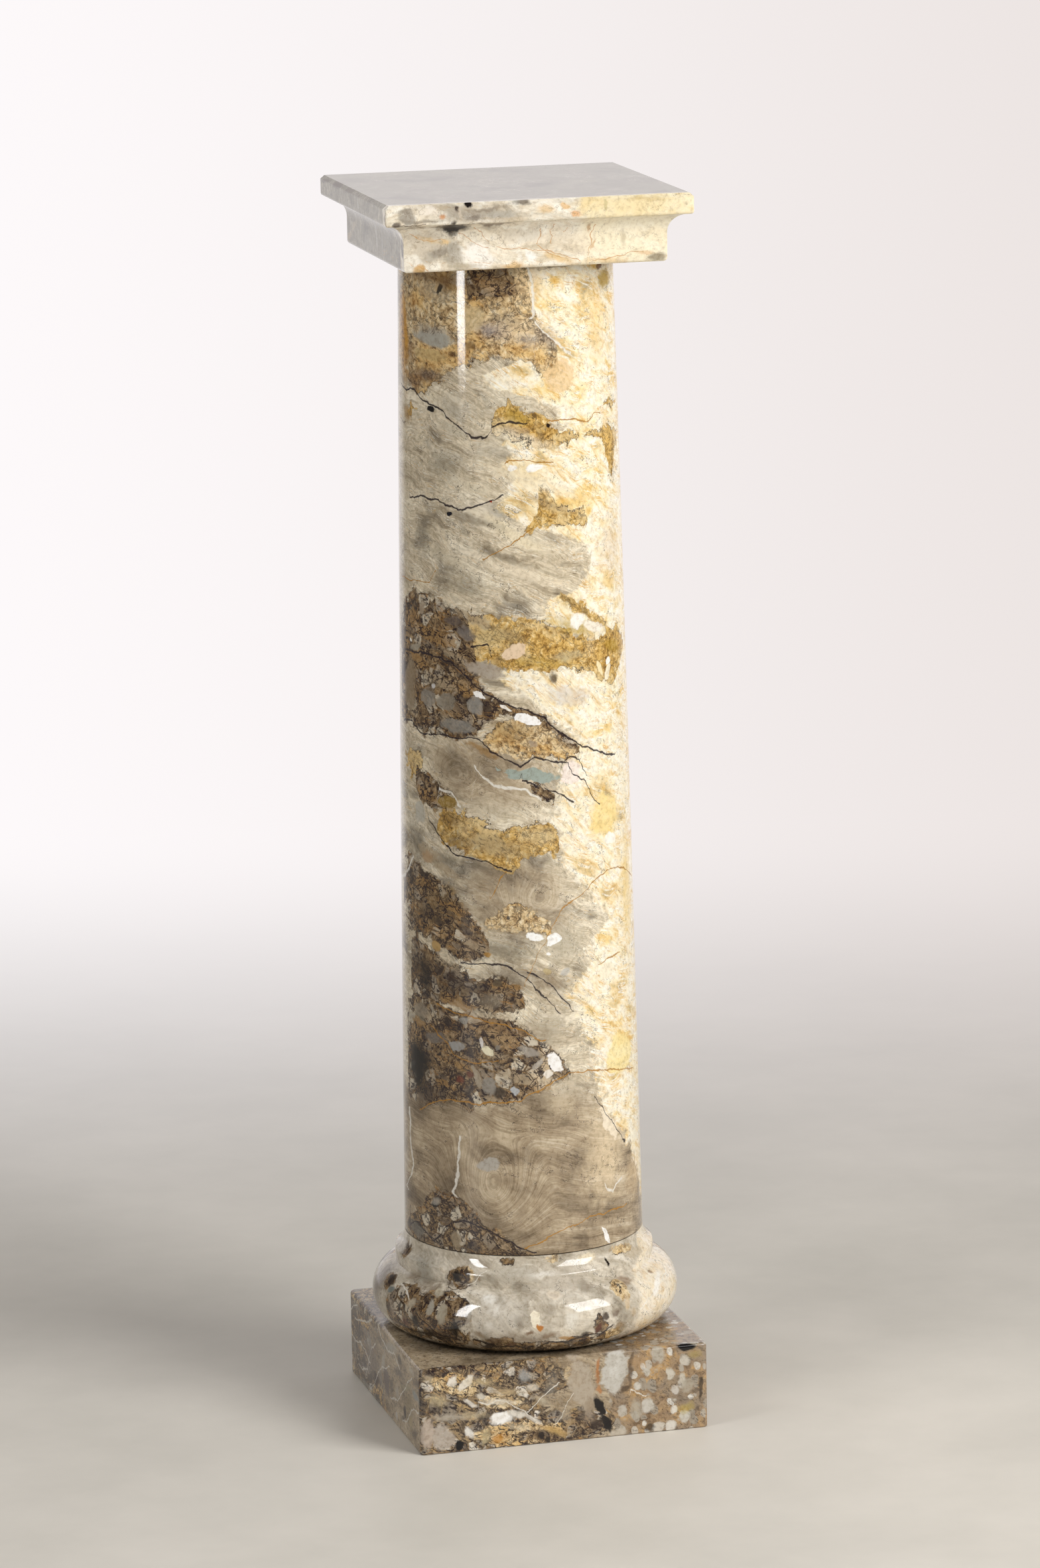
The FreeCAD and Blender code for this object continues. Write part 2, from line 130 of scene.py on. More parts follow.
class Finish:
    """A material in the making, or another tree of its kind. All its nodes but the sums come from node()."""

    def __init__(self, name, tree=None):
        if tree is None:
            self.material = bpy.data.materials.new(name)
            self.material.use_nodes = True
            tree = self.material.node_tree
        self.tree = tree
        self.tree.nodes.clear()

    def node(self, kind, settings, inputs, out=0):
        """A node of this kind, set first and then fed with values or wires. Gives one output as a wire."""
        made = self.tree.nodes.new(kind if kind.startswith("Node") else "ShaderNode" + kind)
        for key, value in settings.items():
            if key == "stops":
                set_stops(made.color_ramp, value)
            elif key == "course":
                set_course(made.mapping, value)
            else:
                setattr(made, key, value)
        pairs = inputs.items() if isinstance(inputs, dict) else enumerate(inputs)
        for key, value in pairs:
            if isinstance(value, Wire):
                self.tree.links.new(value.socket, made.inputs[key])
            else:
                made.inputs[key].default_value = value
        return Wire(self, made.outputs[out]) if made.outputs else None

    def vector(self, operation, *values):
        """A sum on places or colours."""
        return self.node("VectorMath", {"operation": operation}, values)

    def mix(self, mask, under, over):
        """One colour laid over another where the mask is 1."""
        return self.node("Mix", {"data_type": "RGBA"}, {0: mask, 6: under, 7: over}, out=2)

    def shade(self, mask, under, over):
        """A colour darkened by another, as far as the mask says."""
        settings = {"data_type": "RGBA", "blend_type": "MULTIPLY"}
        return self.node("Mix", settings, {0: mask, 6: under, 7: over}, out=2)

    def ramp(self, value, *stops):
        """A colour for each value, from stops of (value, red, green, blue)."""
        return self.node("ValToRGB", {"stops": [(at, tone(*shown)) for at, *shown in stops]}, [value])

    def fade(self, value, start, end):
        """0 before start and 1 past end, easing between them."""
        return self.node("MapRange", {"interpolation_type": "SMOOTHSTEP"}, [value, start, end, 0.0, 1.0])

    def clouds(self, place, size, detail=3.0, rough=0.5, out="Fac"):
        """Cloudy levels about 0.5, in swells of about this size."""
        inputs = {"Vector": place, "Scale": 1 / size, "Detail": detail, "Roughness": rough}
        return self.node("TexNoise", {}, inputs, out)

    def stirred(self, place, size, reach, detail=1.0):
        """The place shifted by up to about reach, in swirls of about size."""
        drift = self.vector("SUBTRACT", self.clouds(place, size, detail, out="Color"), (0.5, 0.5, 0.5))
        return self.vector("MULTIPLY_ADD", drift, (2 * reach, 2 * reach, 2 * reach), place)

    def cells(self, place, size, feature, out):
        """Small stones of about this size: what the feature measures in them, or a colour for each."""
        inputs = {"Vector": place, "Scale": 1 / size}
        return self.node("TexVoronoi", {"feature": feature}, inputs, out)

    def parts(self, place, axes):
        """The coordinates of a place along these axes."""
        return [self.node("SeparateXYZ", {}, [place], axis) for axis in axes]

    def scaled(self, place, across, up, slant):
        """Coordinates counted in steps of one length level and another upright, slanting by some degrees."""
        turn = (0.0, math.radians(slant), 0.0)
        inputs = {"Vector": place, "Rotation": turn, "Scale": (across, across, up)}
        return self.node("Mapping", {"vector_type": "TEXTURE"}, inputs)

    def lens(self, place, middle, reach, turn):
        """1 in the middle of a lens, falling evenly to 0 at its edge."""
        inputs = {"Vector": place, "Location": middle, "Rotation": turn, "Scale": reach}
        local = self.node("Mapping", {"vector_type": "TEXTURE"}, inputs)
        return self.node("TexGradient", {"gradient_type": "SPHERICAL"}, [local], "Fac")

    def course(self, along, points, outside):
        """The level, 0 to 1, of a line drawn through points, and another level beyond its two ends."""
        step = 0.002
        beyond = [(points[0][0] - step, outside), *points, (points[-1][0] + step, outside)]
        return self.node("FloatCurve", {"course": [(0.0, outside), *beyond, (1.0, outside)]}, {1: along})

    def grouped(self, name, wires, result, build):
        """What build makes of some wires, its nodes in a group of their own, which keeps a big tree quick."""
        tree = bpy.data.node_groups.new(name, "ShaderNodeTree")
        kinds = {"VALUE": "NodeSocketFloat", "VECTOR": "NodeSocketVector", "RGBA": "NodeSocketColor"}
        for i, wire in enumerate(wires):
            tree.interface.new_socket(f"wire {i}", in_out="INPUT", socket_type=kinds[wire.socket.type])
        tree.interface.new_socket("result", in_out="OUTPUT", socket_type=kinds[result])
        inner = Finish(name, tree)
        made = build(inner, *[inner.node("NodeGroupInput", {}, [], out) for out in range(len(wires))])
        inner.node("NodeGroupOutput", {}, [made])
        return self.node("Group", {"node_tree": tree}, wires)

    def bumps(self, height, strength, distance):
        return self.node("Bump", {}, {"Strength": strength, "Distance": distance, "Height": height})

    def surface(self, **inputs):
        """The finished material, from the inputs of its shader."""
        named = {key.replace("_", " "): value for key, value in inputs.items()}
        shader = self.node("BsdfPrincipled", {}, named)
        self.node("OutputMaterial", {}, [shader])
        return self.material


def set_stops(ramp, stops):
    """Stops of a colour ramp, as (position, colour) pairs."""
    for spare in list(ramp.elements)[1:]:
        ramp.elements.remove(spare)
    ramp.elements[0].position, ramp.elements[0].color = stops[0]
    for position, colour in stops[1:]:
        ramp.elements.new(position).color = colour


def set_course(mapping, points):
    """Points of a curve node, all within 0 to 1."""
    curve = mapping.curves[0]
    curve.points[0].location = points[0]
    curve.points[1].location = points[-1]
    for point in points[1:-1]:
        curve.points.new(*point)
    for point in curve.points:
        point.handle_type = "VECTOR"
    mapping.update()


# ---------------------------------------------------------------- marble

# The black brown of cracks and flecks.
INK = tone(44, 32, 34)
MARKS_IN_GROUP = 40
THREAD_REACH = 0.008


class Marble(Finish):
    """Polished marble: kinds of stone laid over one another, then marks and veins, then the polish.

    Places are in mm: x to the right of the photographed side, y away from it, z up.
    """

    def __init__(self, name, turned, fall):
        super().__init__(name)
        known = self.node("TexCoord", {}, [], "Object")
        inputs = {"Vector": known, "Rotation": (0.0, 0.0, turned), "Scale": (1000.0, 1000.0, 1000.0)}
        self.plain = self.node("Mapping", {"vector_type": "POINT"}, inputs)
        # The same place stirred a little, for the kinds of stone, and more finely, for edges.
        self.place = self.stirred(self.stirred(self.plain, 60.0, 5.0), 16.0, 3.5, 2.0)
        self.ragged = self.stirred(self.place, 4.0, 1.3, 2.0)
        self.across, self.inward, self.height = self.parts(self.ragged, "XYZ")
        # A round stone's angle: 0 at the left edge that is seen, 0.5 in the middle, 1 at the right edge.
        self.around = self.across.worked("ARCTAN2", self.across, 0 - self.inward) / math.pi + 0.5
        # 1 over the side that is seen, and 0 behind.
        self.front = self.fade(*self.parts(self.plain, "Y"), 20.0, -35.0)
        curl = self.stirred(self.stirred(self.plain, 75.0, 17.0, 2.0), 26.0, 6.0)
        # Patterns that all kinds of stone share, from the broad ones to the fine.
        self.cloud = self.clouds(self.scaled(curl, 44.0, 26.0, fall), 1.0, 7.0, 0.56)
        self.fold = self.clouds(self.scaled(curl, 80.0, 7.0, fall), 1.0, 5.0, 0.6)
        self.mottle = self.clouds(self.ragged, 11.0, 6.0, 0.65)
        self.grain = self.clouds(self.place, 4.0, 6.0, 0.7)
        self.speckle = self.grain * 0.6 + self.mottle * 0.4
        self.uneven = (self.mottle - 0.5) * 0.9
        self.crackle = abs(self.clouds(self.ragged, 15.0, 4.0, 0.6) - 0.5)
        self.clast = self.cells(self.ragged, 12.0, "F1", "Color")
        self.joint = self.cells(self.ragged, 12.0, "DISTANCE_TO_EDGE", "Distance")
        # Distance in mm to the nearest edge between two kinds of stone, once one is laid.
        self.rim = None

    def grey(self):
        """Cream grey stone in folds, with threads of other colours at some levels of the fold."""
        body = self.ramp(self.cloud, (0.28, 138, 130, 114), (0.36, 176, 166, 148), (0.42, 208, 197, 175),
                         (0.47, 242, 230, 206), (0.5, 218, 207, 184), (0.54, 250, 239, 216),
                         (0.58, 228, 216, 192), (0.64, 255, 246, 224), (0.72, 236, 220, 188))
        body = self.shade(0.9, body, self.ramp(
            self.fold, (0.34, 186, 179, 168), (0.41, 232, 227, 219), (0.46, 206, 199, 189),
            (0.5, 250, 248, 244), (0.55, 224, 219, 210), (0.6, 255, 255, 255)))
        levels = {0.43: (130, 116, 94), 0.475: (255, 250, 236), 0.505: (206, 172, 118),
                  0.54: (255, 252, 240), 0.585: (150, 136, 114)}
        threads = self.ramp(self.fold, *[(level + step, *shown) for level, shown in levels.items()
                                         for step in (-THREAD_REACH, THREAD_REACH)])
        gap = reduce(Wire.lesser, (abs(self.fold - level) for level in levels))
        seen = self.fade(gap, 0.009, 0.002) * self.fade(self.mottle, 0.44, 0.56) * 0.75
        return self.mix(seen, body, threads)

    def flowing(self, hills):
        """Beige grey stone in fine beds that bulge over the hills, each given as middle, reach and height."""
        swirl = self.stirred(self.plain, 85.0, 13.0, 2.0)
        rise = 0.0
        for middle, reach, height in hills:
            rise = self.fade(self.lens(self.plain, middle, reach, (0.0, 0.0, 0.0)), 0.0, 1.0) * height + rise
        swirl = self.vector("ADD", swirl, self.node("CombineXYZ", {}, {2: rise}))
        lines = self.clouds(self.scaled(swirl, 110.0, 6.0, 14.0), 1.0, 5.0, 0.62)
        body = self.ramp(self.cloud, (0.3, 126, 110, 90), (0.42, 164, 148, 124), (0.52, 194, 177, 151),
                         (0.64, 218, 203, 177))
        return self.shade(1.0, body, self.ramp(
            lines, (0.32, 188, 180, 170), (0.4, 236, 231, 224), (0.45, 204, 197, 187),
            (0.5, 250, 247, 242), (0.55, 222, 216, 207), (0.61, 255, 255, 255)))

    def cream(self):
        """Cream stone with steep lines, brown and golden threads, and white ones."""
        body = self.ramp(self.cloud, (0.28, 196, 180, 146), (0.35, 236, 212, 160), (0.42, 252, 238, 204),
                         (0.5, 255, 248, 230), (0.57, 252, 240, 208), (0.63, 246, 220, 160),
                         (0.72, 232, 190, 110))
        lines = self.clouds(self.scaled(self.place, 26.0, 4.0, 52.0), 1.0, 6.0, 0.62)
        body = self.shade(0.8, body, self.ramp(
            lines, (0.34, 228, 200, 148), (0.42, 251, 240, 218), (0.52, 255, 255, 255)))
        threads = self.fade(abs(lines - 0.5), 0.009, 0.002) * self.fade(self.mottle, 0.46, 0.54)
        body = self.mix(threads * 0.8, body, tone(190, 144, 74))
        golden = self.fade(abs(self.fold - 0.44), 0.016, 0.004) * self.fade(self.mottle, 0.48, 0.6)
        body = self.mix(golden * 0.7, body, tone(222, 170, 74))
        white = self.fade(abs(self.fold - 0.54), 0.03, 0.012) * self.fade(self.mottle, 0.44, 0.56) * 0.75
        return self.mix(white, body, tone(255, 252, 242))

    def ochre(self):
        """Speckled ochre stone, golden in some clouds and dull in others."""
        body = self.ramp(self.speckle, (0.34, 100, 74, 48), (0.41, 168, 138, 96), (0.49, 212, 184, 138),
                         (0.57, 232, 210, 168), (0.66, 242, 230, 204))
        golden = self.fade(self.cloud, 0.5, 0.6) * 0.6
        dull = self.fade(self.cloud, 0.44, 0.36) * 0.6
        body = self.mix(golden, body, self.shade(1.0, tone(232, 190, 112), self.ramp(
            self.speckle, (0.38, 190, 160, 130), (0.55, 255, 255, 255))))
        return self.mix(dull, body, tone(158, 144, 122))

    def mustard(self):
        """Speckled stone of a deeper yellow, pale in some clouds and dull in others."""
        body = self.ramp(self.speckle, (0.34, 108, 76, 38), (0.42, 176, 136, 70), (0.5, 214, 174, 98),
                         (0.57, 228, 196, 132), (0.66, 244, 228, 186))
        pale = self.fade(self.cloud, 0.5, 0.62) * 0.6
        dull = self.fade(self.cloud, 0.44, 0.38) * 0.5
        return self.mix(dull, self.mix(pale, body, tone(230, 208, 160)), tone(160, 138, 98))

    def broken(self, ground, stones):
        """Breccia: small stones in a ground of another colour, with rusty threads."""
        levels = zip((0.34, 0.43, 0.52, 0.64), ground)
        ground = self.ramp(self.speckle, *[(at, *shown) for at, shown in levels])
        kind, other = [self.node("SeparateColor", {}, [self.clast], part) for part in ("Red", "Green")]
        levels = zip((0.1, 0.35, 0.6, 0.9), stones)
        body = self.ramp(kind + (self.speckle - 0.5) * 1.2, *[(at, *shown) for at, shown in levels])
        inside = self.fade(self.joint, 0.04, 0.12)
        body = self.mix(inside * self.fade(other, 0.36, 0.44) * 0.9, ground, body)
        rust = self.fade(abs(self.fold - 0.5), 0.012, 0.003) * self.fade(self.mottle, 0.42, 0.52)
        return self.mix(rust * 0.8, body, tone(170, 122, 60))

    def dark(self):
        return self.broken([(40, 30, 24), (98, 78, 56), (146, 122, 90), (190, 164, 124)],
                           [(66, 54, 46), (126, 110, 90), (166, 152, 132), (214, 204, 184)])

    def busy(self):
        return self.broken([(52, 42, 34), (120, 104, 84), (158, 136, 104), (206, 172, 112)],
                           [(92, 82, 72), (146, 136, 122), (184, 174, 158), (240, 234, 222)])

    def loose(self, size, share, seed):
        """Depth in mm in scattered bodies of about this size that fill this share, none on the front."""
        moved = self.vector("ADD", self.place, (seed * 170.0, 0.0, seed * 90.0))
        flat = self.scaled(moved, 1.7, 0.7, 16.0)
        return (self.clouds(flat, size, 2.0) - 0.62 + 0.25 * share) * size * 3 - self.front * 90

    def lay(self, colour, depth, kind, rough=32.0, soft=1.0):
        """A kind of stone laid over the colour where the depth is over 0, its edge ragged."""
        depth = depth + (self.mottle - 0.5) * rough
        self.rim = abs(depth) if self.rim is None else self.rim.lesser(abs(depth))
        return self.mix(self.fade(depth, -soft, soft), colour, kind)

    def marks(self, colour, lenses):
        """Marks laid over the colour one after another, their edges uneven, so many to a group."""
        def build(layer, colour, place, uneven):
            for middle, reach, turn, shown, strength, soft in lenses[:MARKS_IN_GROUP]:
                depth = layer.lens(place, middle, [1.4 * length for length in reach], turn) + uneven
                ends = [depth, 0.26, 0.3 + 0.7 * soft, 0.0, strength]
                mask = layer.node("MapRange", {"interpolation_type": "SMOOTHSTEP"}, ends)
                colour = layer.mix(mask, colour, tone(*shown))
            return colour
        if not lenses:
            return colour
        colour = self.grouped("marks", [colour, self.ragged, self.uneven], "RGBA", build)
        return self.marks(colour, lenses[MARKS_IN_GROUP:])

    def bodies(self, lenses):
        """Depth in mm inside the deepest of some lenses."""
        def build(layer, place):
            return reduce(Wire.greater, (layer.lens(place, middle, reach, turn) * min(reach[0], reach[2])
                                         for middle, reach, turn in lenses))
        return self.grouped("bodies", [self.ragged], "VALUE", build)

    def scattered(self, colour, kinds, laid, margin, size):
        """Bodies of some kinds of stone over the colour, and a mask that is 1 inside them.

        Those in the lists are a margin smaller than written, and loose ones of about a size go elsewhere.
        """
        busy = None
        for seed, (kind, lenses) in enumerate(kinds.items(), 2):
            seen = self.bodies([laid(*lens) for lens in lenses]) - margin
            depth = seen.greater(self.loose(size, 0.4, seed))
            colour = self.lay(colour, depth, getattr(self, kind)(), 14.0)
            crowd = self.fade(depth, 0.0, 4.0)
            busy = crowd if busy is None else busy.greater(crowd)
        return colour, busy

    def inked(self, colour, crowd):
        """Dark cracks: along the rims, round the small stones where it is crowded, and a few anywhere."""
        breaks = self.fade(self.cloud, 0.44, 0.58)
        rims = self.fade(self.rim, 0.8, 0.2) * breaks
        thick = self.mottle * 0.12 - 0.035
        joints = self.fade(self.joint / thick, 1.0, 0.5)
        cracks = self.fade(self.crackle, 0.030, 0.012).greater(joints) * crowd
        stray = self.fade(abs(self.clouds(self.ragged, 42.0, 6.0, 0.62) - 0.5), 0.0045, 0.001)
        stray = stray * self.fade(self.fold, 0.46, 0.52) * 0.8
        return self.mix(rims.greater(cracks).greater(stray) * 0.9, colour, INK)

    def veins(self, colour, gaps, half, shown, strength):
        """Veins where the gap to the nearest drawn line is small."""
        wide = (self.mottle * 2.4 - 0.2) * half
        return self.mix(self.fade(gaps / wide, 1.0, 0.35) * strength, colour, tone(*shown))

    def flecks(self, size, slant, start, end):
        """Small flecks on a slant, as a mask: fewer, the higher the levels where they start and end."""
        specks = self.clouds(self.scaled(self.ragged, size * 2.6, size, slant), 1.0, 3.0, 0.6)
        return self.fade(specks + self.cloud * 0.2, start, end)

    def pale(self):
        """Smooth pale stone with a faint flow."""
        body = self.ramp(self.cloud, (0.28, 152, 142, 124), (0.4, 194, 184, 166), (0.48, 232, 223, 206),
                         (0.54, 208, 198, 180), (0.62, 244, 235, 218), (0.72, 218, 204, 178))
        return self.shade(0.8, body, self.ramp(
            self.fold, (0.34, 212, 207, 199), (0.44, 244, 242, 238), (0.5, 232, 229, 224),
            (0.58, 255, 255, 255)))

    def pebbled(self):
        """Rounded pale pebbles in an orange brown ground."""
        ground = self.ramp(self.mottle, (0.3, 112, 90, 66), (0.42, 154, 128, 98), (0.52, 178, 150, 114),
                           (0.6, 198, 160, 106), (0.7, 190, 176, 156))
        leaning = self.scaled(self.place, 9.0, 12.0, -24.0)
        kind = self.node("SeparateColor", {}, [self.cells(leaning, 1.0, "F1", "Color")], "Red")
        body = self.mix(self.fade(self.cloud, 0.42, 0.56) * 0.7, ground, tone(150, 136, 118))
        shown = self.ramp(kind, (0.2, 168, 158, 142), (0.6, 206, 198, 184), (0.9, 232, 228, 218))
        near = self.cells(leaning, 1.0, "F1", "Distance") + kind * 0.25 + (self.mottle - 0.5) * 0.3
        return self.mix(self.fade(near, 0.56, 0.48) * 0.9, body, shown)

    def polished(self, colour):
        """The finished stone: a fine grain in its colour, and a gloss that is a little uneven."""
        colour = self.shade(1.0, colour, self.ramp(
            self.grain, (0.34, 222, 217, 210), (0.48, 249, 247, 244), (0.58, 255, 255, 255)))
        wave = self.bumps(self.clouds(self.plain, 2.5, 3.0), 0.04, 0.0004)
        return self.surface(Base_Color=colour, Roughness=self.mottle * 0.08 + 0.03, Normal=wave)


class Sheet:
    """A stone's faces laid out flat, in the measures that its lists are written in.

    The wire along goes from 0 to 1 over so many degrees or mm (wide) from a start, which are so many mm long.
    Heights go from low over so many mm (tall).
    """

    def __init__(self, stone, along, start, wide, length, low, tall):
        self.stone, self.along = stone, along
        self.start, self.wide, self.length, self.low, self.tall = start, wide, length, low, tall
        self.up = (stone.height - low) / tall

    def shares(self, points):
        """Points as shares of the sheet."""
        return [((along - self.start) / self.wide, (up - self.low) / self.tall) for along, up in points]

    def turned_shares(self, points):
        """Shares of the points of a steep line, which is given as (height, along)."""
        return [(up, along) for along, up in self.shares([(along, up) for up, along in points])]

    def depth(self, beds):
        """Depth in mm inside the beds, each between two lines."""
        def between(layer, along, up, upper, lower):
            top = layer.course(along, self.shares(upper), 0.0) - up
            return top.lesser(up - layer.course(along, self.shares(lower), 1.0))

        def build(layer, along, up):
            return reduce(Wire.greater, (between(layer, along, up, *bed) for bed in beds)) * self.tall
        return self.stone.grouped("beds", [self.along, self.up], "VALUE", build)

    def inside(self, edge, outside):
        """Depth in mm past a steep line."""
        return (self.along - self.stone.course(self.up, self.turned_shares(edge), outside)) * self.length

    def gap(self, lines, steep=()):
        """Distance in mm to the nearest of some lines, each of which ends where it ends."""
        def away(along, up, points, length, tall):
            first, last = points[0][0], points[-1][0]
            beyond = (abs(along - (first + last) / 2) - (last - first) / 2) * length
            return (abs(up - along.finish.course(along, points, points[-1][1])) * tall).greater(beyond)

        def build(layer, along, up):
            gaps = [away(along, up, self.shares(line), self.length, self.tall) for line in lines]
            gaps += [away(up, along, self.turned_shares(line), self.tall, self.length) for line in steep]
            return reduce(Wire.lesser, gaps)
        return self.stone.grouped("lines", [self.along, self.up], "VALUE", build)


def on_round(radius, degrees, height, across, up, fall):
    """A lens on a round face, as its middle, reach and turn."""
    angle = math.radians(degrees)
    middle = (radius * math.sin(angle), -radius * math.cos(angle), height)
    return middle, (across, max(9.0, 0.9 * across), up), (0.0, math.radians(fall), angle)


def on_shaft(degrees, height, across, up, fall):
    """On the shaft, which narrows evenly from its foot."""
    foot, foot_radius, taper = 163, 105.6, 0.0152
    return on_round(foot_radius - taper * (height - foot), degrees, height, across, up, fall)


def on_base(degrees, height, across, up, fall):
    """On the base: the torus, then the band over it, then the hollow that narrows to the shaft."""
    torus_middle, torus_height, bulge = 105.9, 107.1, 29.5
    band, band_foot, band_top, narrowing = 114.4, 136.6, 147.0, 0.45
    if height < band_foot:
        radius = torus_middle + math.sqrt(max(0.0, bulge ** 2 - (height - torus_height) ** 2))
    else:
        radius = band if height < band_top else band - narrowing * (height - band_top)
    return on_round(radius, degrees, height, across, up, fall)


def on_face(half, side):
    """Lays lenses on one face of a square stone: the front, or the one so many degrees round from it."""
    angle = math.radians(side)

    def laid(along, height, across, up, fall):
        middle = (half * math.sin(angle) + along * math.cos(angle),
                  along * math.sin(angle) - half * math.cos(angle), height)
        return middle, (across, 9.0, up), (0.0, math.radians(fall), angle)

    return laid


def drawn_marks(stone, colour, marks, laid):
    """A list's marks laid on the stone, each by its first five columns."""
    return stone.marks(colour, [(*laid(*mark[:5]), *mark[5:]) for mark in marks])


# The lists below say where each stone's pattern lies. A point of a line is (degrees round from the
# photographed side, height) on a round stone and (mm along the face from its middle, height) on a square one.
# A body or a streak starts like a point and goes on with half width, half height and fall in degrees. A tint,
# a stain or any other mark has three more columns: its colour, its strength, and how soft its edge is.

# ---- the shaft's pattern

# Where the cream stone of the right side begins, as (height, degrees).
CREAM_EDGE = [
    (160, 88), (200, 78), (230, 68), (260, 57), (280, 46), (300, 41), (330, 41), (350, 35), (380, 28),
    (400, 28), (415, 36), (440, 40), (456, 54), (472, 40), (490, 33), (505, 26), (530, 22), (545, 17),
    (562, 22), (590, 27), (610, 31), (625, 30), (636, 20), (655, 6), (668, -4), (680, -14), (686, 20),
    (700, 46), (712, 30), (722, 14), (738, 18), (750, 40), (775, 46), (790, 34), (806, 8), (820, -10),
    (834, -2), (845, 6), (858, -4), (868, 4), (876, -10), (884, 30), (900, 26), (914, 12), (924, -8),
    (934, -14), (945, 4), (965, 10), (985, 12), (1024, 6),
]
# Beds of other kinds of stone, each between an upper and a lower line.
SHAFT_BEDS = {
    "ochre": [
        ([(-80, 1040), (8, 1040), (12, 1004), (15, 978), (22, 966), (27, 950)],
         [(-80, 905), (-70, 918), (-60, 915), (-50, 918), (-42, 926), (-34, 934), (-27, 938), (-20, 944),
          (-10, 950), (0, 945), (8, 948), (16, 932), (24, 930), (27, 940)]),
        ([(-16, 618), (-8, 635), (0, 641), (8, 637), (16, 630), (24, 622), (32, 612)],
         [(-16, 612), (-6, 610), (2, 602), (12, 604), (22, 603), (32, 603)]),
        ([(-17, 462), (-10, 470), (-4, 476), (0, 476), (8, 469), (14, 463), (17, 455)],
         [(-17, 458), (-8, 456), (0, 453), (8, 452), (17, 449)]),
    ],
    "mustard": [
        ([(-10, 890), (-6, 905), (0, 911), (6, 905), (12, 901), (20, 893), (28, 885), (36, 878), (50, 877),
          (56, 878), (60, 882), (68, 880), (76, 872)],
         [(-10, 882), (0, 881), (8, 875), (16, 872), (26, 873), (38, 875), (50, 875), (56, 872), (62, 850),
          (66, 838), (70, 860), (76, 866)]),
        ([(-78, 892), (-68, 898), (-60, 904), (-54, 902)], [(-78, 884), (-68, 890), (-60, 899), (-54, 900)]),
        ([(60, 903), (68, 905), (78, 902)], [(60, 899), (68, 899), (78, 898)]),
        ([(7, 801), (13, 812), (16, 840), (20, 838), (24, 821), (32, 814), (40, 812), (43, 804)],
         [(7, 799), (14, 804), (22, 803), (28, 801), (36, 803), (43, 800)]),
        ([(25, 745), (32, 740), (40, 734), (46, 724), (54, 714), (58, 708)],
         [(25, 740), (32, 731), (40, 727), (46, 718), (54, 709), (58, 706)]),
        ([(-24, 733), (-12, 728), (0, 724), (10, 722), (20, 720), (28, 716), (34, 709), (45, 702), (52, 702),
          (60, 708), (68, 704), (78, 692)],
         [(-24, 690), (-12, 688), (-6, 682), (0, 680), (8, 677), (16, 675), (24, 679), (34, 678), (42, 674),
          (50, 664), (60, 655), (66, 662), (72, 680), (78, 690)]),
        ([(-43, 536), (-41, 550), (-38, 557), (-30, 559), (-22, 553), (-14, 546), (-5, 541), (5, 545),
          (15, 548), (22, 538)],
         [(-43, 531), (-36, 523), (-28, 521), (-20, 518), (-14, 512), (-8, 505), (-2, 503), (3, 515),
          (12, 519), (22, 519)]),
        ([(-72, 600), (-60, 603), (-52, 600)], [(-72, 582), (-62, 578), (-52, 590)]),
    ],
    "dark": [
        ([(-22, 1040), (-4, 1040), (2, 1018), (5, 1008)], [(-22, 1004), (-12, 1001), (-4, 1000), (5, 1004)]),
        ([(-78, 722), (-70, 730), (-60, 742), (-50, 742), (-40, 736), (-30, 730), (-24, 724), (-21, 708),
          (-19, 674), (-12, 660), (-4, 652), (5, 644), (15, 636), (22, 628), (30, 618), (34, 606)],
         [(-78, 625), (-62, 628), (-52, 619), (-40, 620), (-30, 618), (-20, 622), (-14, 636), (-4, 644),
          (5, 638), (15, 630), (22, 622), (30, 612), (34, 602)]),
        ([(-66, 430), (-60, 442), (-56, 436), (-48, 432), (-40, 424), (-34, 422), (-28, 418), (-24, 408),
          (-18, 410), (-12, 413), (-6, 409), (0, 400), (4, 388)],
         [(-66, 384), (-56, 380), (-46, 382), (-38, 388), (-30, 396), (-26, 384), (-15, 379), (-5, 380),
          (4, 384)]),
        ([(-72, 384), (-60, 388), (-50, 385), (-40, 383), (-30, 380), (-20, 378), (-10, 376), (0, 372),
          (6, 362), (12, 352), (18, 342), (26, 326)],
         [(-72, 278), (-62, 281), (-55, 286), (-46, 292), (-40, 296), (-34, 298), (-28, 290), (-22, 298),
          (-10, 298), (0, 300), (6, 308), (12, 314), (18, 318), (26, 322)]),
        ([(-80, 198), (-65, 195), (-55, 205), (-48, 215), (-42, 214), (-36, 215), (-30, 210), (-25, 200),
          (-20, 192), (-12, 184), (-6, 176), (0, 168), (4, 163)],
         [(-80, 152), (4, 152)]),
        ([(-58, 590), (-46, 585), (-38, 578), (-30, 568)], [(-58, 565), (-46, 556), (-38, 556), (-30, 560)]),
        ([(-78, 512), (-64, 508), (-50, 501), (-40, 492), (-30, 480), (-22, 462), (-14, 442)],
         [(-78, 436), (-64, 444), (-50, 440), (-38, 430), (-24, 425), (-14, 432)]),
        ([(8, 580), (12, 584), (18, 576), (20, 566)], [(8, 576), (12, 570), (16, 562), (20, 562)]),
    ],
}
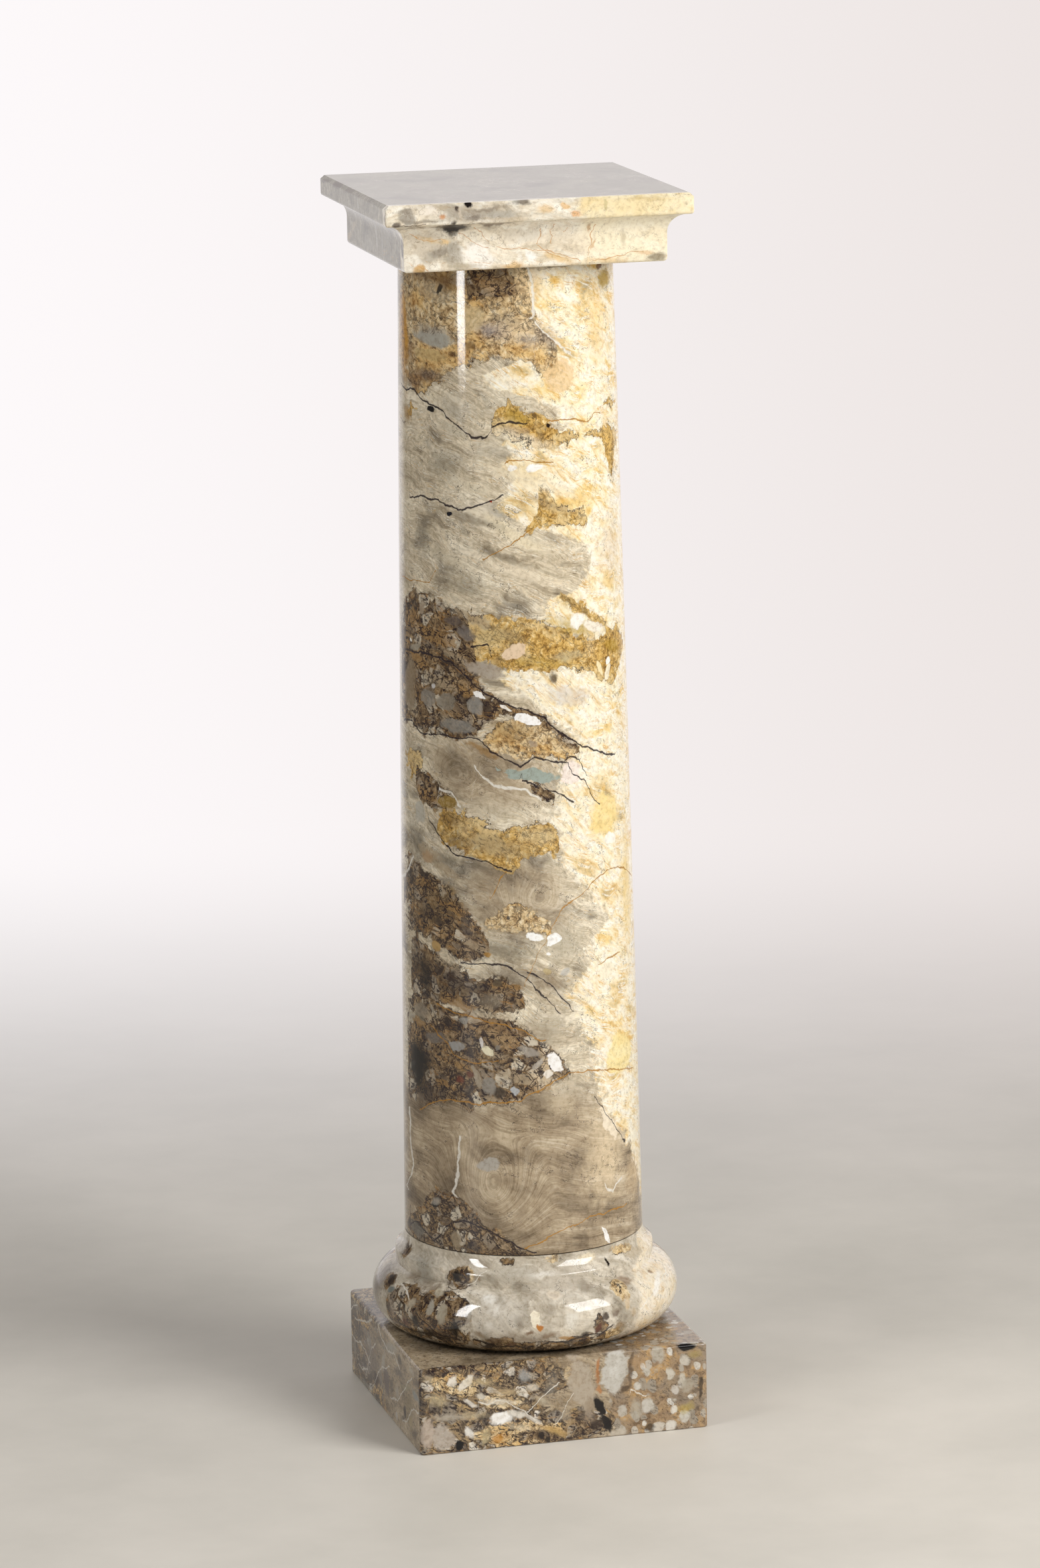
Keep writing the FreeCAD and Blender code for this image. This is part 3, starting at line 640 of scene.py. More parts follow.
# Veins that are drawn one by one, by colour.
SHAFT_INK = [
    [(-74, 918), (-66, 914), (-58, 916), (-52, 912), (-46, 906), (-40, 904), (-36, 900), (-33, 894),
     (-26, 887), (-20, 880), (-14, 878), (-11, 880), (-10, 888), (-5, 891), (0, 893), (8, 893)],
    [(-72, 690), (-50, 691), (-40, 688), (-30, 683), (-22, 672), (-15, 662), (-5, 652), (5, 645),
     (15, 637), (22, 627), (30, 618), (34, 610), (40, 606), (48, 600), (60, 596)],
    [(-75, 625), (-62, 627), (-55, 619), (-45, 621), (-30, 619), (-18, 620), (-12, 610), (-5, 602), (3, 598),
     (10, 604), (20, 600), (27, 598)],
    [(-64, 824), (-58, 825), (-50, 827), (-40, 825), (-30, 822), (-24, 819), (-18, 822), (-12, 827),
     (-3, 833)],
    [(-52, 575), (-50, 560), (-48, 543), (-44, 536), (-38, 526), (-30, 518), (-15, 514), (-8, 507),
     (-3, 505)],
    [(-70, 172), (-60, 180), (-48, 166), (-42, 178), (-36, 188), (-30, 191), (-20, 187), (-8, 177), (4, 166)],
    [(-30, 424), (-18, 424), (-6, 422), (2, 412), (8, 404), (14, 394), (20, 378)],
    [(4, 416), (12, 410), (20, 398), (27, 380)],
    [(38, 302), (44, 286), (52, 264), (58, 250)],
    [(-22, 702), (-14, 706), (-12, 694)],
    [(27, 600), (31, 586), (36, 580), (42, 566), (46, 556)],
    [(3, 600), (-4, 590), (4, 584), (12, 580)],
    [(24, 596), (29, 604), (34, 600), (38, 584)],
    [(16, 578), (22, 570), (30, 563)],
]
SHAFT_OCHRE_VEINS = [
    [(-16, 777), (-8, 782), (0, 789), (6, 797), (10, 802)],
    [(20, 894), (30, 894), (40, 890), (46, 889), (52, 896), (56, 893)],
    [(-2, 860), (8, 861), (24, 857)],
    [(-80, 752), (-60, 752), (-46, 753), (-42, 764)],
    [(34, 482), (42, 491), (50, 496), (60, 498), (70, 492), (80, 482)],
    [(2, 402), (8, 420), (12, 436), (18, 456), (24, 472), (34, 482)],
    [(-14, 480), (-10, 496), (-6, 505)],
    [(0, 170), (20, 186), (35, 192), (60, 193)],
    [(41, 400), (42, 416), (50, 419), (60, 419)],
    [(-60, 282), (-46, 293), (-36, 299), (-20, 298), (0, 301), (12, 314), (24, 323), (50, 320), (72, 310)],
    [(-50, 362), (-40, 352), (-34, 341), (-22, 335), (-10, 338)],
    [(-44, 384), (-30, 377), (-18, 374), (0, 366), (12, 354)],
]
SHAFT_WHITE_VEINS = [
    [(-86, 482), (-74, 490), (-66, 500), (-62, 508)],
    [(-20, 598), (-17, 586), (-8, 577), (6, 577), (12, 566)],
    [(-40, 576), (-32, 570), (-28, 560)],
    [(44, 214), (48, 210), (52, 217), (56, 218)],
    [(14, 980), (18, 970), (26, 958), (34, 948)],
]
# Steep veins, as (height, degrees).
SHAFT_STEEP_VEINS = [
    [(214, -36.5), (232, -34), (252, -32.5), (269, -32)],
    [(204, -79), (218, -68), (232, -66), (250, -69), (278, -70)],
    [(984, 12.5), (1000, 14), (1012, 13), (1024, 11)],
]
# Soft tints of the grey stone, under the beds.
SHAFT_TINTS = [
    (-36, 858, 30, 18, 0, (150, 142, 124), 0.7, 1), (-50, 792, 18, 26, 0, (134, 126, 110), 0.7, 1),
    (-25, 755, 34, 14, 12, (150, 142, 124), 0.6, 1), (-30, 905, 30, 16, 10, (196, 188, 170), 0.7, 1),
    (0, 905, 40, 20, 10, (214, 204, 182), 0.7, 1), (-5, 870, 40, 12, 0, (196, 188, 170), 0.6, 1),
    (-10, 815, 34, 18, 0, (224, 214, 196), 0.6, 1), (-30, 588, 24, 16, 12, (112, 106, 90), 0.8, 1),
    (0, 575, 30, 12, 12, (160, 150, 132), 0.6, 1), (-10, 560, 34, 14, 0, (204, 192, 168), 0.7, 1),
    (-35, 510, 34, 14, 4, (112, 104, 88), 0.8, 1), (0, 490, 34, 18, 16, (190, 180, 160), 0.8, 1),
    (-8, 436, 44, 14, 10, (128, 120, 102), 0.8, 1), (24, 440, 30, 30, 20, (190, 180, 158), 0.8, 1),
    (12, 360, 24, 42, 30, (176, 164, 142), 0.8, 1), (24, 305, 34, 24, 30, (196, 182, 158), 0.7, 1),
    (-60, 520, 24, 40, 0, (132, 124, 108), 0.6, 1), (-58, 600, 24, 14, 0, (132, 124, 108), 0.6, 1),
]
# Broad stains over the beds. The last two are painted light: pale washes that lighten the shaft's upper left
# edge.
SHAFT_STAINS_AND_LIGHT = [
    (-48, 932, 26, 9, 0, (104, 78, 66), 0.75, 0.8), (-62, 950, 10, 20, 0, (120, 88, 60), 0.6, 0.9),
    (-44, 968, 28, 12, 2, (176, 170, 158), 0.8, 0.6), (-34, 1012, 14, 8, 0, (112, 92, 70), 0.7, 0.8),
    (-8, 1004, 22, 12, 10, (136, 110, 74), 0.5, 1), (-6, 972, 24, 12, 20, (176, 160, 146), 0.7, 0.8),
    (20, 965, 22, 12, 30, (182, 166, 150), 0.5, 0.9), (54, 958, 24, 32, 0, (238, 206, 146), 0.7, 1),
    (-70, 960, 12, 60, -8, (204, 146, 58), 0.8, 0.8), (-58, 925, 14, 12, 10, (150, 112, 70), 0.8, 0.8),
    (-66, 896, 10, 9, 10, (176, 136, 72), 0.8, 0.7), (56, 982, 22, 24, 10, (246, 206, 128), 0.6, 1),
    (62, 872, 9, 26, -10, (232, 190, 108), 0.7, 0.8), (34, 998, 18, 5, 24, (255, 250, 236), 0.8, 0.7),
    (-20, 960, 8, 6, 0, (110, 78, 40), 0.7, 0.6), (-30, 952, 6, 4, 20, (84, 56, 34), 0.8, 0.5),
    (4, 1008, 7, 8, 30, (118, 84, 44), 0.7, 0.6), (4, 898, 16, 9, 20, (182, 150, 66), 0.7, 0.7),
    (4, 886, 16, 4, 4, (176, 140, 96), 0.6, 0.6), (36, 715, 44, 10, 18, (176, 148, 58), 0.6, 0.8),
    (14, 686, 40, 8, 8, (190, 156, 74), 0.6, 0.7), (-10, 712, 28, 10, 8, (206, 184, 134), 0.7, 0.7),
    (-2, 628, 26, 12, 10, (164, 138, 96), 0.6, 0.7), (-34, 548, 16, 8, 0, (140, 108, 56), 0.7, 0.7),
    (-10, 528, 40, 12, 8, (176, 152, 108), 0.7, 0.7), (-42, 472, 36, 26, 0, (134, 112, 78), 0.5, 1),
    (-50, 460, 18, 10, 0, (96, 76, 50), 0.7, 0.8), (-56, 410, 26, 24, 0, (48, 36, 28), 0.6, 1),
    (-36, 486, 12, 6, 10, (160, 134, 92), 0.7, 0.8), (12, 534, 22, 10, 0, (212, 190, 144), 0.7, 0.7),
    (-10, 368, 50, 12, 12, (150, 120, 84), 0.6, 0.9), (-30, 400, 44, 18, 0, (64, 52, 42), 0.5, 0.8),
    (-54, 300, 30, 16, -14, (74, 60, 50), 0.7, 0.8), (-56, 332, 26, 16, 0, (44, 34, 28), 0.6, 0.9),
    (-4, 412, 40, 16, 6, (96, 78, 56), 0.65, 0.9), (16, 406, 20, 16, 10, (128, 108, 80), 0.75, 0.9),
    (-8, 356, 16, 8, 10, (178, 150, 110), 0.6, 0.7), (-32, 648, 20, 10, 0, (150, 128, 102), 0.6, 0.8),
    (-30, 528, 16, 12, 0, (104, 84, 58), 0.5, 0.8), (12, 1010, 20, 20, 0, (236, 212, 170), 0.7, 0.8),
    (-8, 1012, 10, 10, 0, (196, 164, 120), 0.6, 0.8), (6, 972, 22, 18, 0, (234, 210, 170), 0.6, 0.8),
    (44, 242, 36, 60, 0, (250, 228, 190), 0.55, 1), (70, 215, 26, 34, 0, (244, 212, 164), 0.4, 1),
    (62, 775, 34, 50, 0, (232, 214, 190), 0.5, 1), (44, 700, 10, 30, 0, (232, 206, 160), 0.4, 1),
    (14, 842, 56, 10, 24, (246, 232, 200), 0.8, 0.8), (-18, 840, 34, 8, 16, (228, 216, 190), 0.7, 0.8),
    (0, 800, 50, 9, 30, (240, 226, 194), 0.8, 0.8), (-34, 776, 34, 8, 22, (212, 200, 174), 0.7, 0.8),
    (8, 764, 50, 9, 20, (236, 222, 196), 0.7, 0.8), (-4, 780, 34, 5, 26, (120, 108, 88), 0.6, 0.7),
    (-20, 812, 40, 5, 18, (128, 116, 96), 0.6, 0.7), (20, 822, 38, 5, 26, (180, 154, 112), 0.6, 0.7),
    (4, 880, 44, 8, 14, (242, 230, 204), 0.7, 0.8), (-30, 886, 28, 6, 10, (206, 196, 174), 0.7, 0.8),
    (12, 330, 17, 26, 20, (212, 190, 156), 0.9, 0.9), (20, 296, 26, 13, 20, (206, 188, 158), 0.7, 0.9),
    # Painted light: pale washes down the upper left edge.
    (-72, 880, 16, 90, 0, (206, 192, 166), 0.35, 1), (-66, 770, 14, 40, 0, (198, 184, 158), 0.35, 1),
]
# Streaks over the stains, rusty ones and grey ones.
SHAFT_RUSTY = [
    (-44, 706, 34, 10, 14), (-56, 684, 26, 9, 16), (-24, 660, 28, 7, 20), (-54, 650, 24, 7, 10),
    (-60, 718, 18, 11, 0), (-52, 488, 24, 7, 14), (-34, 470, 30, 7, 20), (-50, 448, 28, 7, 14),
    (-30, 388, 34, 8, 16), (-30, 330, 30, 7, 14), (-46, 566, 30, 8, 18), (-16, 610, 28, 6, 24),
    (-44, 312, 28, 6, 10), (-8, 404, 30, 6, 14), (-58, 360, 20, 8, 10),
]
SHAFT_GREYED = [
    (-30, 690, 30, 7, 22), (-42, 668, 34, 8, 18), (-34, 634, 30, 7, 12), (-50, 516, 24, 8, 16),
    (-38, 502, 26, 7, 20), (-22, 440, 28, 7, 18), (-50, 372, 26, 8, 10), (-14, 346, 34, 8, 18),
    (-2, 322, 28, 8, 16), (2, 578, 30, 7, 20), (-60, 636, 18, 7, 10), (-20, 726, 26, 8, 18),
    (-36, 422, 24, 6, 12), (-16, 384, 26, 6, 20), (-12, 300, 24, 6, 16),
]
# Small marks, over everything but the veins.
SHAFT_MARKS = [
    (-43, 965, 26, 7, 2, (174, 170, 158), 0.9, 0.4), (-42, 1003, 24, 10, 5, (186, 172, 146), 0.5, 0.5),
    (-18, 985, 12, 12, 0, (214, 192, 148), 0.7, 0.3), (-46, 950, 24, 6, 0, (196, 170, 118), 0.7, 0.3),
    (-10, 975, 10, 10, 0, (168, 158, 152), 0.5, 0.8), (10, 962, 14, 9, 20, (182, 172, 160), 0.5, 0.8),
    (66, 1008, 13, 9, 0, (186, 150, 48), 0.8, 0.5), (60, 1019, 6, 4, 0, (112, 60, 24), 0.8, 0.5),
    (28, 931, 17, 13, 0, (236, 204, 154), 0.8, 0.15), (14, 855, 9, 3.5, 0, (255, 253, 248), 1.0, 0.3),
    (2, 855, 5, 3, 0, (255, 252, 246), 0.9, 0.3), (20, 890, 2.2, 2, 10, (40, 24, 16), 1.0, 0.3),
    (-44, 902, 5, 2.4, 10, (20, 16, 16), 1.0, 0.3), (-31, 816, 3, 2.4, -10, (20, 22, 34), 1.0, 0.3),
    (-38, 1006, 3, 5, 20, (18, 18, 22), 0.9, 0.4), (-10, 828, 1.6, 1.4, 0, (176, 60, 30), 1.0, 0.3),
    (0, 697, 12, 6, -22, (234, 208, 176), 1.0, 0.12), (36, 721, 9, 7, 0, (254, 250, 242), 0.9, 0.3),
    (46, 712, 14, 5, 26, (250, 242, 228), 0.8, 0.3), (30, 690, 20, 7, 0, (186, 172, 136), 0.6, 0.5),
    (50, 673, 3, 9, -30, (244, 226, 182), 1.0, 0.15), (57, 678, 5, 4, 0, (252, 248, 238), 1.0, 0.15),
    (57, 668, 4, 9, 35, (248, 236, 208), 1.0, 0.15), (60, 690, 20, 8, 10, (172, 136, 28), 0.6, 0.6),
    (-65, 661, 12, 28, 4, (146, 128, 102), 0.9, 0.25), (-48, 652, 11, 9, 0, (146, 140, 130), 0.8, 0.2),
    (-36, 650, 11, 8, -10, (138, 130, 116), 0.8, 0.2), (-20, 650, 9, 8, 0, (150, 146, 138), 0.8, 0.2),
    (-30, 630, 20, 7, 0, (142, 138, 130), 0.8, 0.3), (-15, 681, 20, 7, 18, (176, 164, 148), 0.9, 0.3),
    (-33, 723, 9, 5, 0, (104, 92, 84), 0.8, 0.3), (-24, 713, 10, 7, 12, (120, 112, 106), 0.8, 0.3),
    (-52, 728, 3, 8, 0, (170, 154, 132), 0.8, 0.3), (-58, 695, 12, 3, -10, (172, 164, 146), 0.8, 0.3),
    (-62, 699, 2.2, 1.6, 0, (250, 248, 240), 1.0, 0.3), (-44, 664, 3, 2.4, 0, (206, 204, 202), 0.9, 0.3),
    (-17, 659, 6.5, 2.8, 25, (252, 250, 246), 1.0, 0.12), (7, 637, 13, 3.4, 20, (253, 251, 248), 1.0, 0.1),
    (-5, 648, 6, 1.5, 28, (246, 240, 230), 1.0, 0.2), (20, 671, 5, 6, -30, (54, 34, 24), 0.8, 0.6),
    (30, 655, 24, 10, 6, (216, 206, 196), 0.6, 0.5), (8, 589, 27, 5.5, 9, (162, 172, 162), 1.0, 0.06),
    (30, 589, 9, 12, 10, (250, 236, 226), 0.9, 0.12), (10, 616, 6, 3, 20, (170, 152, 130), 0.7, 0.3),
    (50, 545, 20, 22, 0, (250, 222, 150), 0.8, 0.3), (53, 524, 8, 5, 0, (254, 250, 240), 0.9, 0.2),
    (70, 475, 16, 70, 0, (248, 218, 148), 0.6, 0.7), (58, 332, 20, 20, 0, (252, 232, 166), 0.8, 0.2),
    (-35, 563, 14, 7, 0, (168, 138, 68), 0.7, 0.4), (-55, 549, 8, 12, 0, (188, 184, 172), 0.8, 0.3),
    (-50, 512, 9, 6, 0, (176, 146, 110), 0.8, 0.4), (-44, 434, 6, 4, -10, (184, 152, 98), 1.0, 0.2),
    (8, 447, 10, 4.4, 8, (255, 254, 250), 1.0, 0.1), (18, 443, 7, 4.6, -30, (255, 254, 250), 1.0, 0.1),
    (16, 431, 2, 1.6, 0, (250, 248, 244), 1.0, 0.2), (-5, 465, 2, 2, 0, (96, 88, 78), 1.0, 0.3),
    (-15, 432, 5, 2.4, -14, (176, 132, 62), 0.9, 0.4), (15, 416, 4, 3, 0, (196, 176, 132), 0.9, 0.3),
    (24, 414, 5, 4, 0, (196, 192, 184), 0.8, 0.4), (48, 410, 9, 8, 0, (250, 240, 214), 0.9, 0.15),
    (-52, 408, 10, 26, 0, (30, 24, 20), 0.8, 0.9), (-34, 411, 8, 7, 0, (48, 30, 26), 0.8, 0.5),
    (-11, 407, 4.5, 4, 0, (92, 80, 62), 0.9, 0.3), (-14, 390, 12, 8, 0, (132, 120, 102), 0.7, 0.5),
    (-60, 322, 20, 24, 0, (20, 17, 16), 0.95, 0.6), (-56, 374, 12, 8, -10, (142, 130, 112), 0.8, 0.4),
    (-46, 352, 16, 6, -6, (120, 112, 104), 0.8, 0.4), (-32, 349, 11, 3.6, -10, (164, 162, 158), 0.9, 0.3),
    (-28, 371, 7, 3.6, 0, (156, 154, 148), 0.8, 0.3), (-18, 353, 2.4, 4.6, 0, (228, 224, 220), 0.9, 0.3),
    (-15, 346, 6.5, 4, 10, (238, 230, 200), 1.0, 0.15), (-10, 350, 3, 3, 0, (134, 128, 118), 0.8, 0.3),
    (4, 346, 10, 5, 8, (168, 160, 148), 0.8, 0.3), (-22, 321, 3.6, 13, -12, (166, 152, 130), 0.9, 0.2),
    (-26, 323, 4, 4, 0, (104, 50, 30), 0.8, 0.5), (-31, 318, 5, 4, 0, (118, 52, 34), 0.7, 0.5),
    (-16, 314, 8, 9, 0, (152, 146, 136), 0.9, 0.25), (-11, 308, 7, 6, 0, (62, 52, 42), 0.8, 0.5),
    (-3, 310, 4, 4, 0, (190, 194, 198), 0.9, 0.3), (17, 334, 6, 11, -32, (253, 250, 246), 1.0, 0.12),
    (14, 325, 5, 3.6, 0, (246, 238, 226), 0.9, 0.2), (8, 334, 3, 8, 40, (186, 178, 166), 0.8, 0.3),
    (-17, 246, 12, 7, 4, (184, 178, 168), 0.9, 0.2), (47, 272, 6, 22, -30, (252, 238, 214), 0.8, 0.3),
    (70, 250, 7, 6, 20, (254, 246, 224), 0.9, 0.3), (-47, 203, 4, 3, -15, (12, 12, 16), 1.0, 0.3),
    (-46, 206, 7, 4, -12, (190, 184, 172), 0.6, 0.6), (43, 173, 2.6, 10, -26, (252, 250, 246), 1.0, 0.12),
    (-62, 172, 14, 8, 0, (116, 112, 104), 0.8, 0.3), (-34, 172, 6, 8, 0, (168, 152, 126), 0.7, 0.4),
    (-68, 970, 5, 44, -12, (206, 150, 48), 0.7, 0.7), (-40, 1015, 60, 8, 0, (140, 100, 60), 0.4, 0.8),
]
# Hills in the fine beds at the shaft's foot and in its swirls: middle, reach and height, in mm.
SHAFT_HILLS = [
    ((-28, -100, 215), (60, 80, 75), 70.0), ((-50, -80, 585), (34, 60, 30), 34.0),
    ((10, -104, 590), (30, 60, 22), 26.0), ((16, -100, 470), (50, 70, 50), 50.0),
]
SHAFT_SWIRLS = [(-14, 588, 76, 34, 10), (0, 480, 60, 46, 16)]


def shaft_marble():
    stone = Marble("shaft_marble", PHOTO_SIDE, 24.0)
    sheet = Sheet(stone, stone.around, -90.0, 180.0, 314.0, 150.0, 900.0)
    colour = drawn_marks(stone, stone.grey(), SHAFT_TINTS, on_shaft)
    flow = stone.flowing(SHAFT_HILLS)
    bedded = stone.fade(stone.height + (stone.cloud - 0.5) * 60, 312.0, 290.0)
    colour = stone.mix(bedded, colour, flow)
    swirls = reduce(Wire.greater, (stone.lens(stone.ragged, *on_shaft(*swirl)) for swirl in SHAFT_SWIRLS))
    colour = stone.mix(stone.fade(swirls, 0.0, 0.5) * 0.75, colour, flow)
    cream = sheet.inside(CREAM_EDGE, 1.0)
    colour = stone.lay(colour, cream.greater(stone.loose(60.0, 0.5, 1)), stone.cream(), 50.0, 5.0)
    stone.rim = None
    # For each kind: the size of its loose bodies, and how crowded with flecks and cracks it is.
    kinds = (("ochre", 48.0, 0.6), ("mustard", 34.0, 0.5), ("dark", 55.0, 1))
    busy = None
    for seed, (kind, size, share) in enumerate(kinds, 2):
        side = stone.fade(stone.around + (stone.cloud - 0.5) * 0.7 + (stone.mottle - 0.5) * 0.2, 0.15, 0.01)
        depth = (sheet.depth(SHAFT_BEDS[kind]) - side * 40).greater(stone.loose(size, 0.4, seed))
        colour = stone.lay(colour, depth, getattr(stone, kind)())
        crowd = stone.fade(depth, -5.0, 3.0)
        crowd = crowd * share if share < 1 else crowd
        busy = crowd if busy is None else busy.greater(crowd)
    # Stains, with painted light on the upper left edge.
    colour = drawn_marks(stone, colour, SHAFT_STAINS_AND_LIGHT, on_shaft)
    for streaks, shown in ((SHAFT_RUSTY, (164, 128, 78)), (SHAFT_GREYED, (176, 158, 130))):
        depth = stone.bodies([on_shaft(*streak) for streak in streaks]) + (stone.mottle - 0.5) * 12
        colour = stone.mix(stone.fade(depth, 2.2, 4.4) * 0.7, colour, tone(*shown))
    thick = stone.fade(stone.cloud, 0.66, 0.48)
    colour = stone.mix(stone.flecks(2.3, 38.0, 0.69, 0.73) * busy * 0.95, colour, INK)
    colour = stone.inked(colour, busy * thick)
    colour = drawn_marks(stone, colour, SHAFT_MARKS, on_shaft)
    colour = stone.veins(colour, sheet.gap(SHAFT_INK), 1.1, (42, 32, 38), 0.95)
    colour = stone.veins(colour, sheet.gap(SHAFT_OCHRE_VEINS), 0.8, (178, 128, 48), 0.9)
    colour = stone.veins(colour, sheet.gap(SHAFT_WHITE_VEINS, SHAFT_STEEP_VEINS), 1.8, (240, 236, 226), 0.85)
    return stone.polished(colour)


# ---- the base's pattern

# Where the cream stone of the right side begins, as (height, degrees).
BASE_CREAM_EDGE = [(76, 46), (100, 47), (130, 50), (150, 66), (164, 70)]
BASE_BODIES = {
    "ochre": [
        (41, 128, 13, 42, 0), (54, 157, 30, 8, 0), (14, 160, 20, 7, 0), (-38, 118, 14, 18, 0),
        (-28, 146, 14, 12, 0), (34, 92, 24, 10, 0),
    ],
    "dark": [
        (-52, 104, 34, 34, 0), (-33, 104, 34, 34, 0), (-30, 142, 14, 20, 0), (-26, 120, 14, 24, 10),
        (-68, 126, 16, 10, 0), (-70, 152, 14, 12, 0), (-9, 159, 16, 6, 0), (-20, 145, 5, 13, 0),
        (0, 86, 70, 12, 0), (24, 90, 30, 12, 0), (29, 104, 10, 13, -30), (-10, 92, 24, 10, 0),
    ],
}
BASE_TINTS = [
    (-52, 145, 24, 22, 0, (172, 166, 152), 0.8, 1), (-78, 120, 30, 60, 0, (128, 116, 104), 0.9, 1),
    (-42, 108, 48, 36, 0, (118, 100, 82), 0.95, 0.7), (-30, 142, 16, 20, 0, (128, 112, 92), 0.9, 0.7),
    (-10, 118, 44, 26, 0, (214, 206, 192), 0.7, 1), (16, 140, 34, 24, 0, (206, 196, 180), 0.7, 1),
    (-5, 150, 30, 12, 0, (188, 180, 164), 0.7, 1), (0, 96, 44, 10, 0, (150, 134, 114), 0.8, 1),
    (-4, 138, 9, 9, 20, (160, 150, 132), 0.7, 0.8), (10, 120, 12, 6, -20, (168, 156, 138), 0.7, 0.8),
    (26, 134, 9, 10, 0, (156, 144, 126), 0.7, 0.8), (-16, 130, 9, 6, 0, (246, 242, 232), 0.8, 0.7),
    (8, 148, 14, 4, 0, (242, 236, 224), 0.8, 0.7), (18, 110, 8, 8, 20, (240, 234, 220), 0.8, 0.7),
    (-2, 110, 6, 8, -20, (150, 138, 120), 0.7, 0.8), (34, 122, 7, 7, 0, (236, 226, 208), 0.7, 0.7),
    (-22, 156, 14, 5, 0, (150, 136, 118), 0.7, 0.8), (-58, 134, 12, 7, 0, (150, 132, 108), 0.7, 0.8),
]
BASE_MARKS = [
    (-38, 116, 4, 8, 0, (178, 172, 158), 0.9, 0.3), (-32, 112, 5, 9, 0, (176, 166, 146), 0.9, 0.3),
    (-22, 116, 3, 6, 0, (184, 178, 168), 0.8, 0.4), (-36, 128, 7, 5, 0, (196, 186, 164), 0.8, 0.4),
    (-31, 143, 5, 8, 0, (22, 18, 18), 0.95, 0.6), (-45, 104, 9, 9, 0, (24, 19, 18), 0.9, 0.7),
    (-27, 100, 7, 12, 6, (26, 20, 18), 0.9, 0.7), (-40, 92, 34, 6, 0, (34, 26, 22), 0.8, 0.9),
    (-67, 127, 9, 5, 0, (34, 24, 22), 0.9, 0.6), (-70, 153, 8, 6, 0, (48, 34, 30), 0.9, 0.6),
    (-63, 122, 5, 3, 0, (122, 132, 130), 0.8, 0.4), (-52, 99, 10, 6, 0, (88, 42, 34), 0.6, 0.8),
    (4, 114, 4, 9, -20, (250, 240, 216), 1.0, 0.15), (6, 108, 3.5, 3, 0, (196, 128, 58), 1.0, 0.4),
    (2, 103, 6, 2.6, 0, (130, 96, 66), 0.8, 0.6), (-5, 91, 7, 5, 0, (92, 66, 48), 0.8, 0.7),
    (-12, 94, 12, 3, 0, (112, 92, 72), 0.7, 0.7), (12, 131, 9, 4.6, 12, (232, 218, 196), 0.8, 0.5),
    (12, 131, 5, 2.2, 12, (206, 192, 172), 0.7, 0.5), (31, 110, 6, 3.6, -20, (62, 46, 34), 0.9, 0.5),
    (28, 101, 3.6, 7, 40, (92, 50, 36), 0.9, 0.5), (22, 97, 8, 3, -20, (52, 40, 28), 0.8, 0.6),
    (16, 95, 10, 2.4, 10, (186, 138, 66), 0.8, 0.5), (41, 150, 1.8, 6, 0, (34, 24, 18), 1.0, 0.5),
    (42, 118, 4, 8, 0, (214, 192, 158), 0.8, 0.5), (36, 112, 5, 5, 0, (94, 68, 46), 0.7, 0.7),
    (47, 132, 9, 4, 0, (138, 106, 74), 0.6, 0.7), (62, 122, 22, 4, -32, (255, 250, 240), 0.9, 0.6),
    (60, 150, 22, 5, 0, (206, 188, 158), 0.6, 0.8), (63, 132, 4, 2, 0, (150, 122, 92), 0.8, 0.6),
    (30, 157, 14, 5, 0, (250, 236, 206), 0.8, 0.6), (-57, 124, 5, 3, -20, (206, 196, 180), 0.8, 0.4),
    (-12, 122, 8, 6, 20, (240, 234, 222), 0.7, 0.8), (-14, 108, 6, 5, 0, (232, 226, 214), 0.6, 0.8),
    (22, 122, 9, 6, -10, (178, 166, 148), 0.6, 0.8), (0, 126, 5, 8, -30, (176, 166, 150), 0.6, 0.8),
    (-60, 108, 8, 12, 0, (150, 136, 120), 0.7, 0.7), (-74, 104, 8, 14, -20, (166, 154, 138), 0.6, 0.8),
    (-48, 118, 7, 6, 10, (196, 184, 162), 0.8, 0.6), (-55, 112, 4, 8, 20, (40, 30, 26), 0.8, 0.7),
    (-34, 134, 10, 3, 0, (92, 74, 58), 0.7, 0.8), (-22, 108, 4, 9, 0, (190, 178, 160), 0.7, 0.6),
    (10, 100, 9, 4, -16, (134, 106, 76), 0.7, 0.8), (-18, 99, 9, 4, 10, (150, 128, 100), 0.7, 0.8),
    (38, 98, 8, 7, 0, (150, 122, 82), 0.7, 0.7), (45, 108, 6, 6, 0, (196, 172, 136), 0.6, 0.7),
]
BASE_INK = [
    [(-44, 110), (-38, 100), (-34, 94), (-26, 90)], [(-58, 96), (-50, 93), (-40, 92), (-30, 90)],
    [(4, 86), (10, 93), (16, 91), (22, 97), (29, 95), (34, 101)], [(-20, 92), (-10, 88), (0, 90)],
]
BASE_WHITE = [
    [(-26, 136), (-22, 142), (-18, 152)], [(-60, 128), (-54, 124), (-50, 121)],
    [(48, 108), (60, 120), (76, 128)],
]


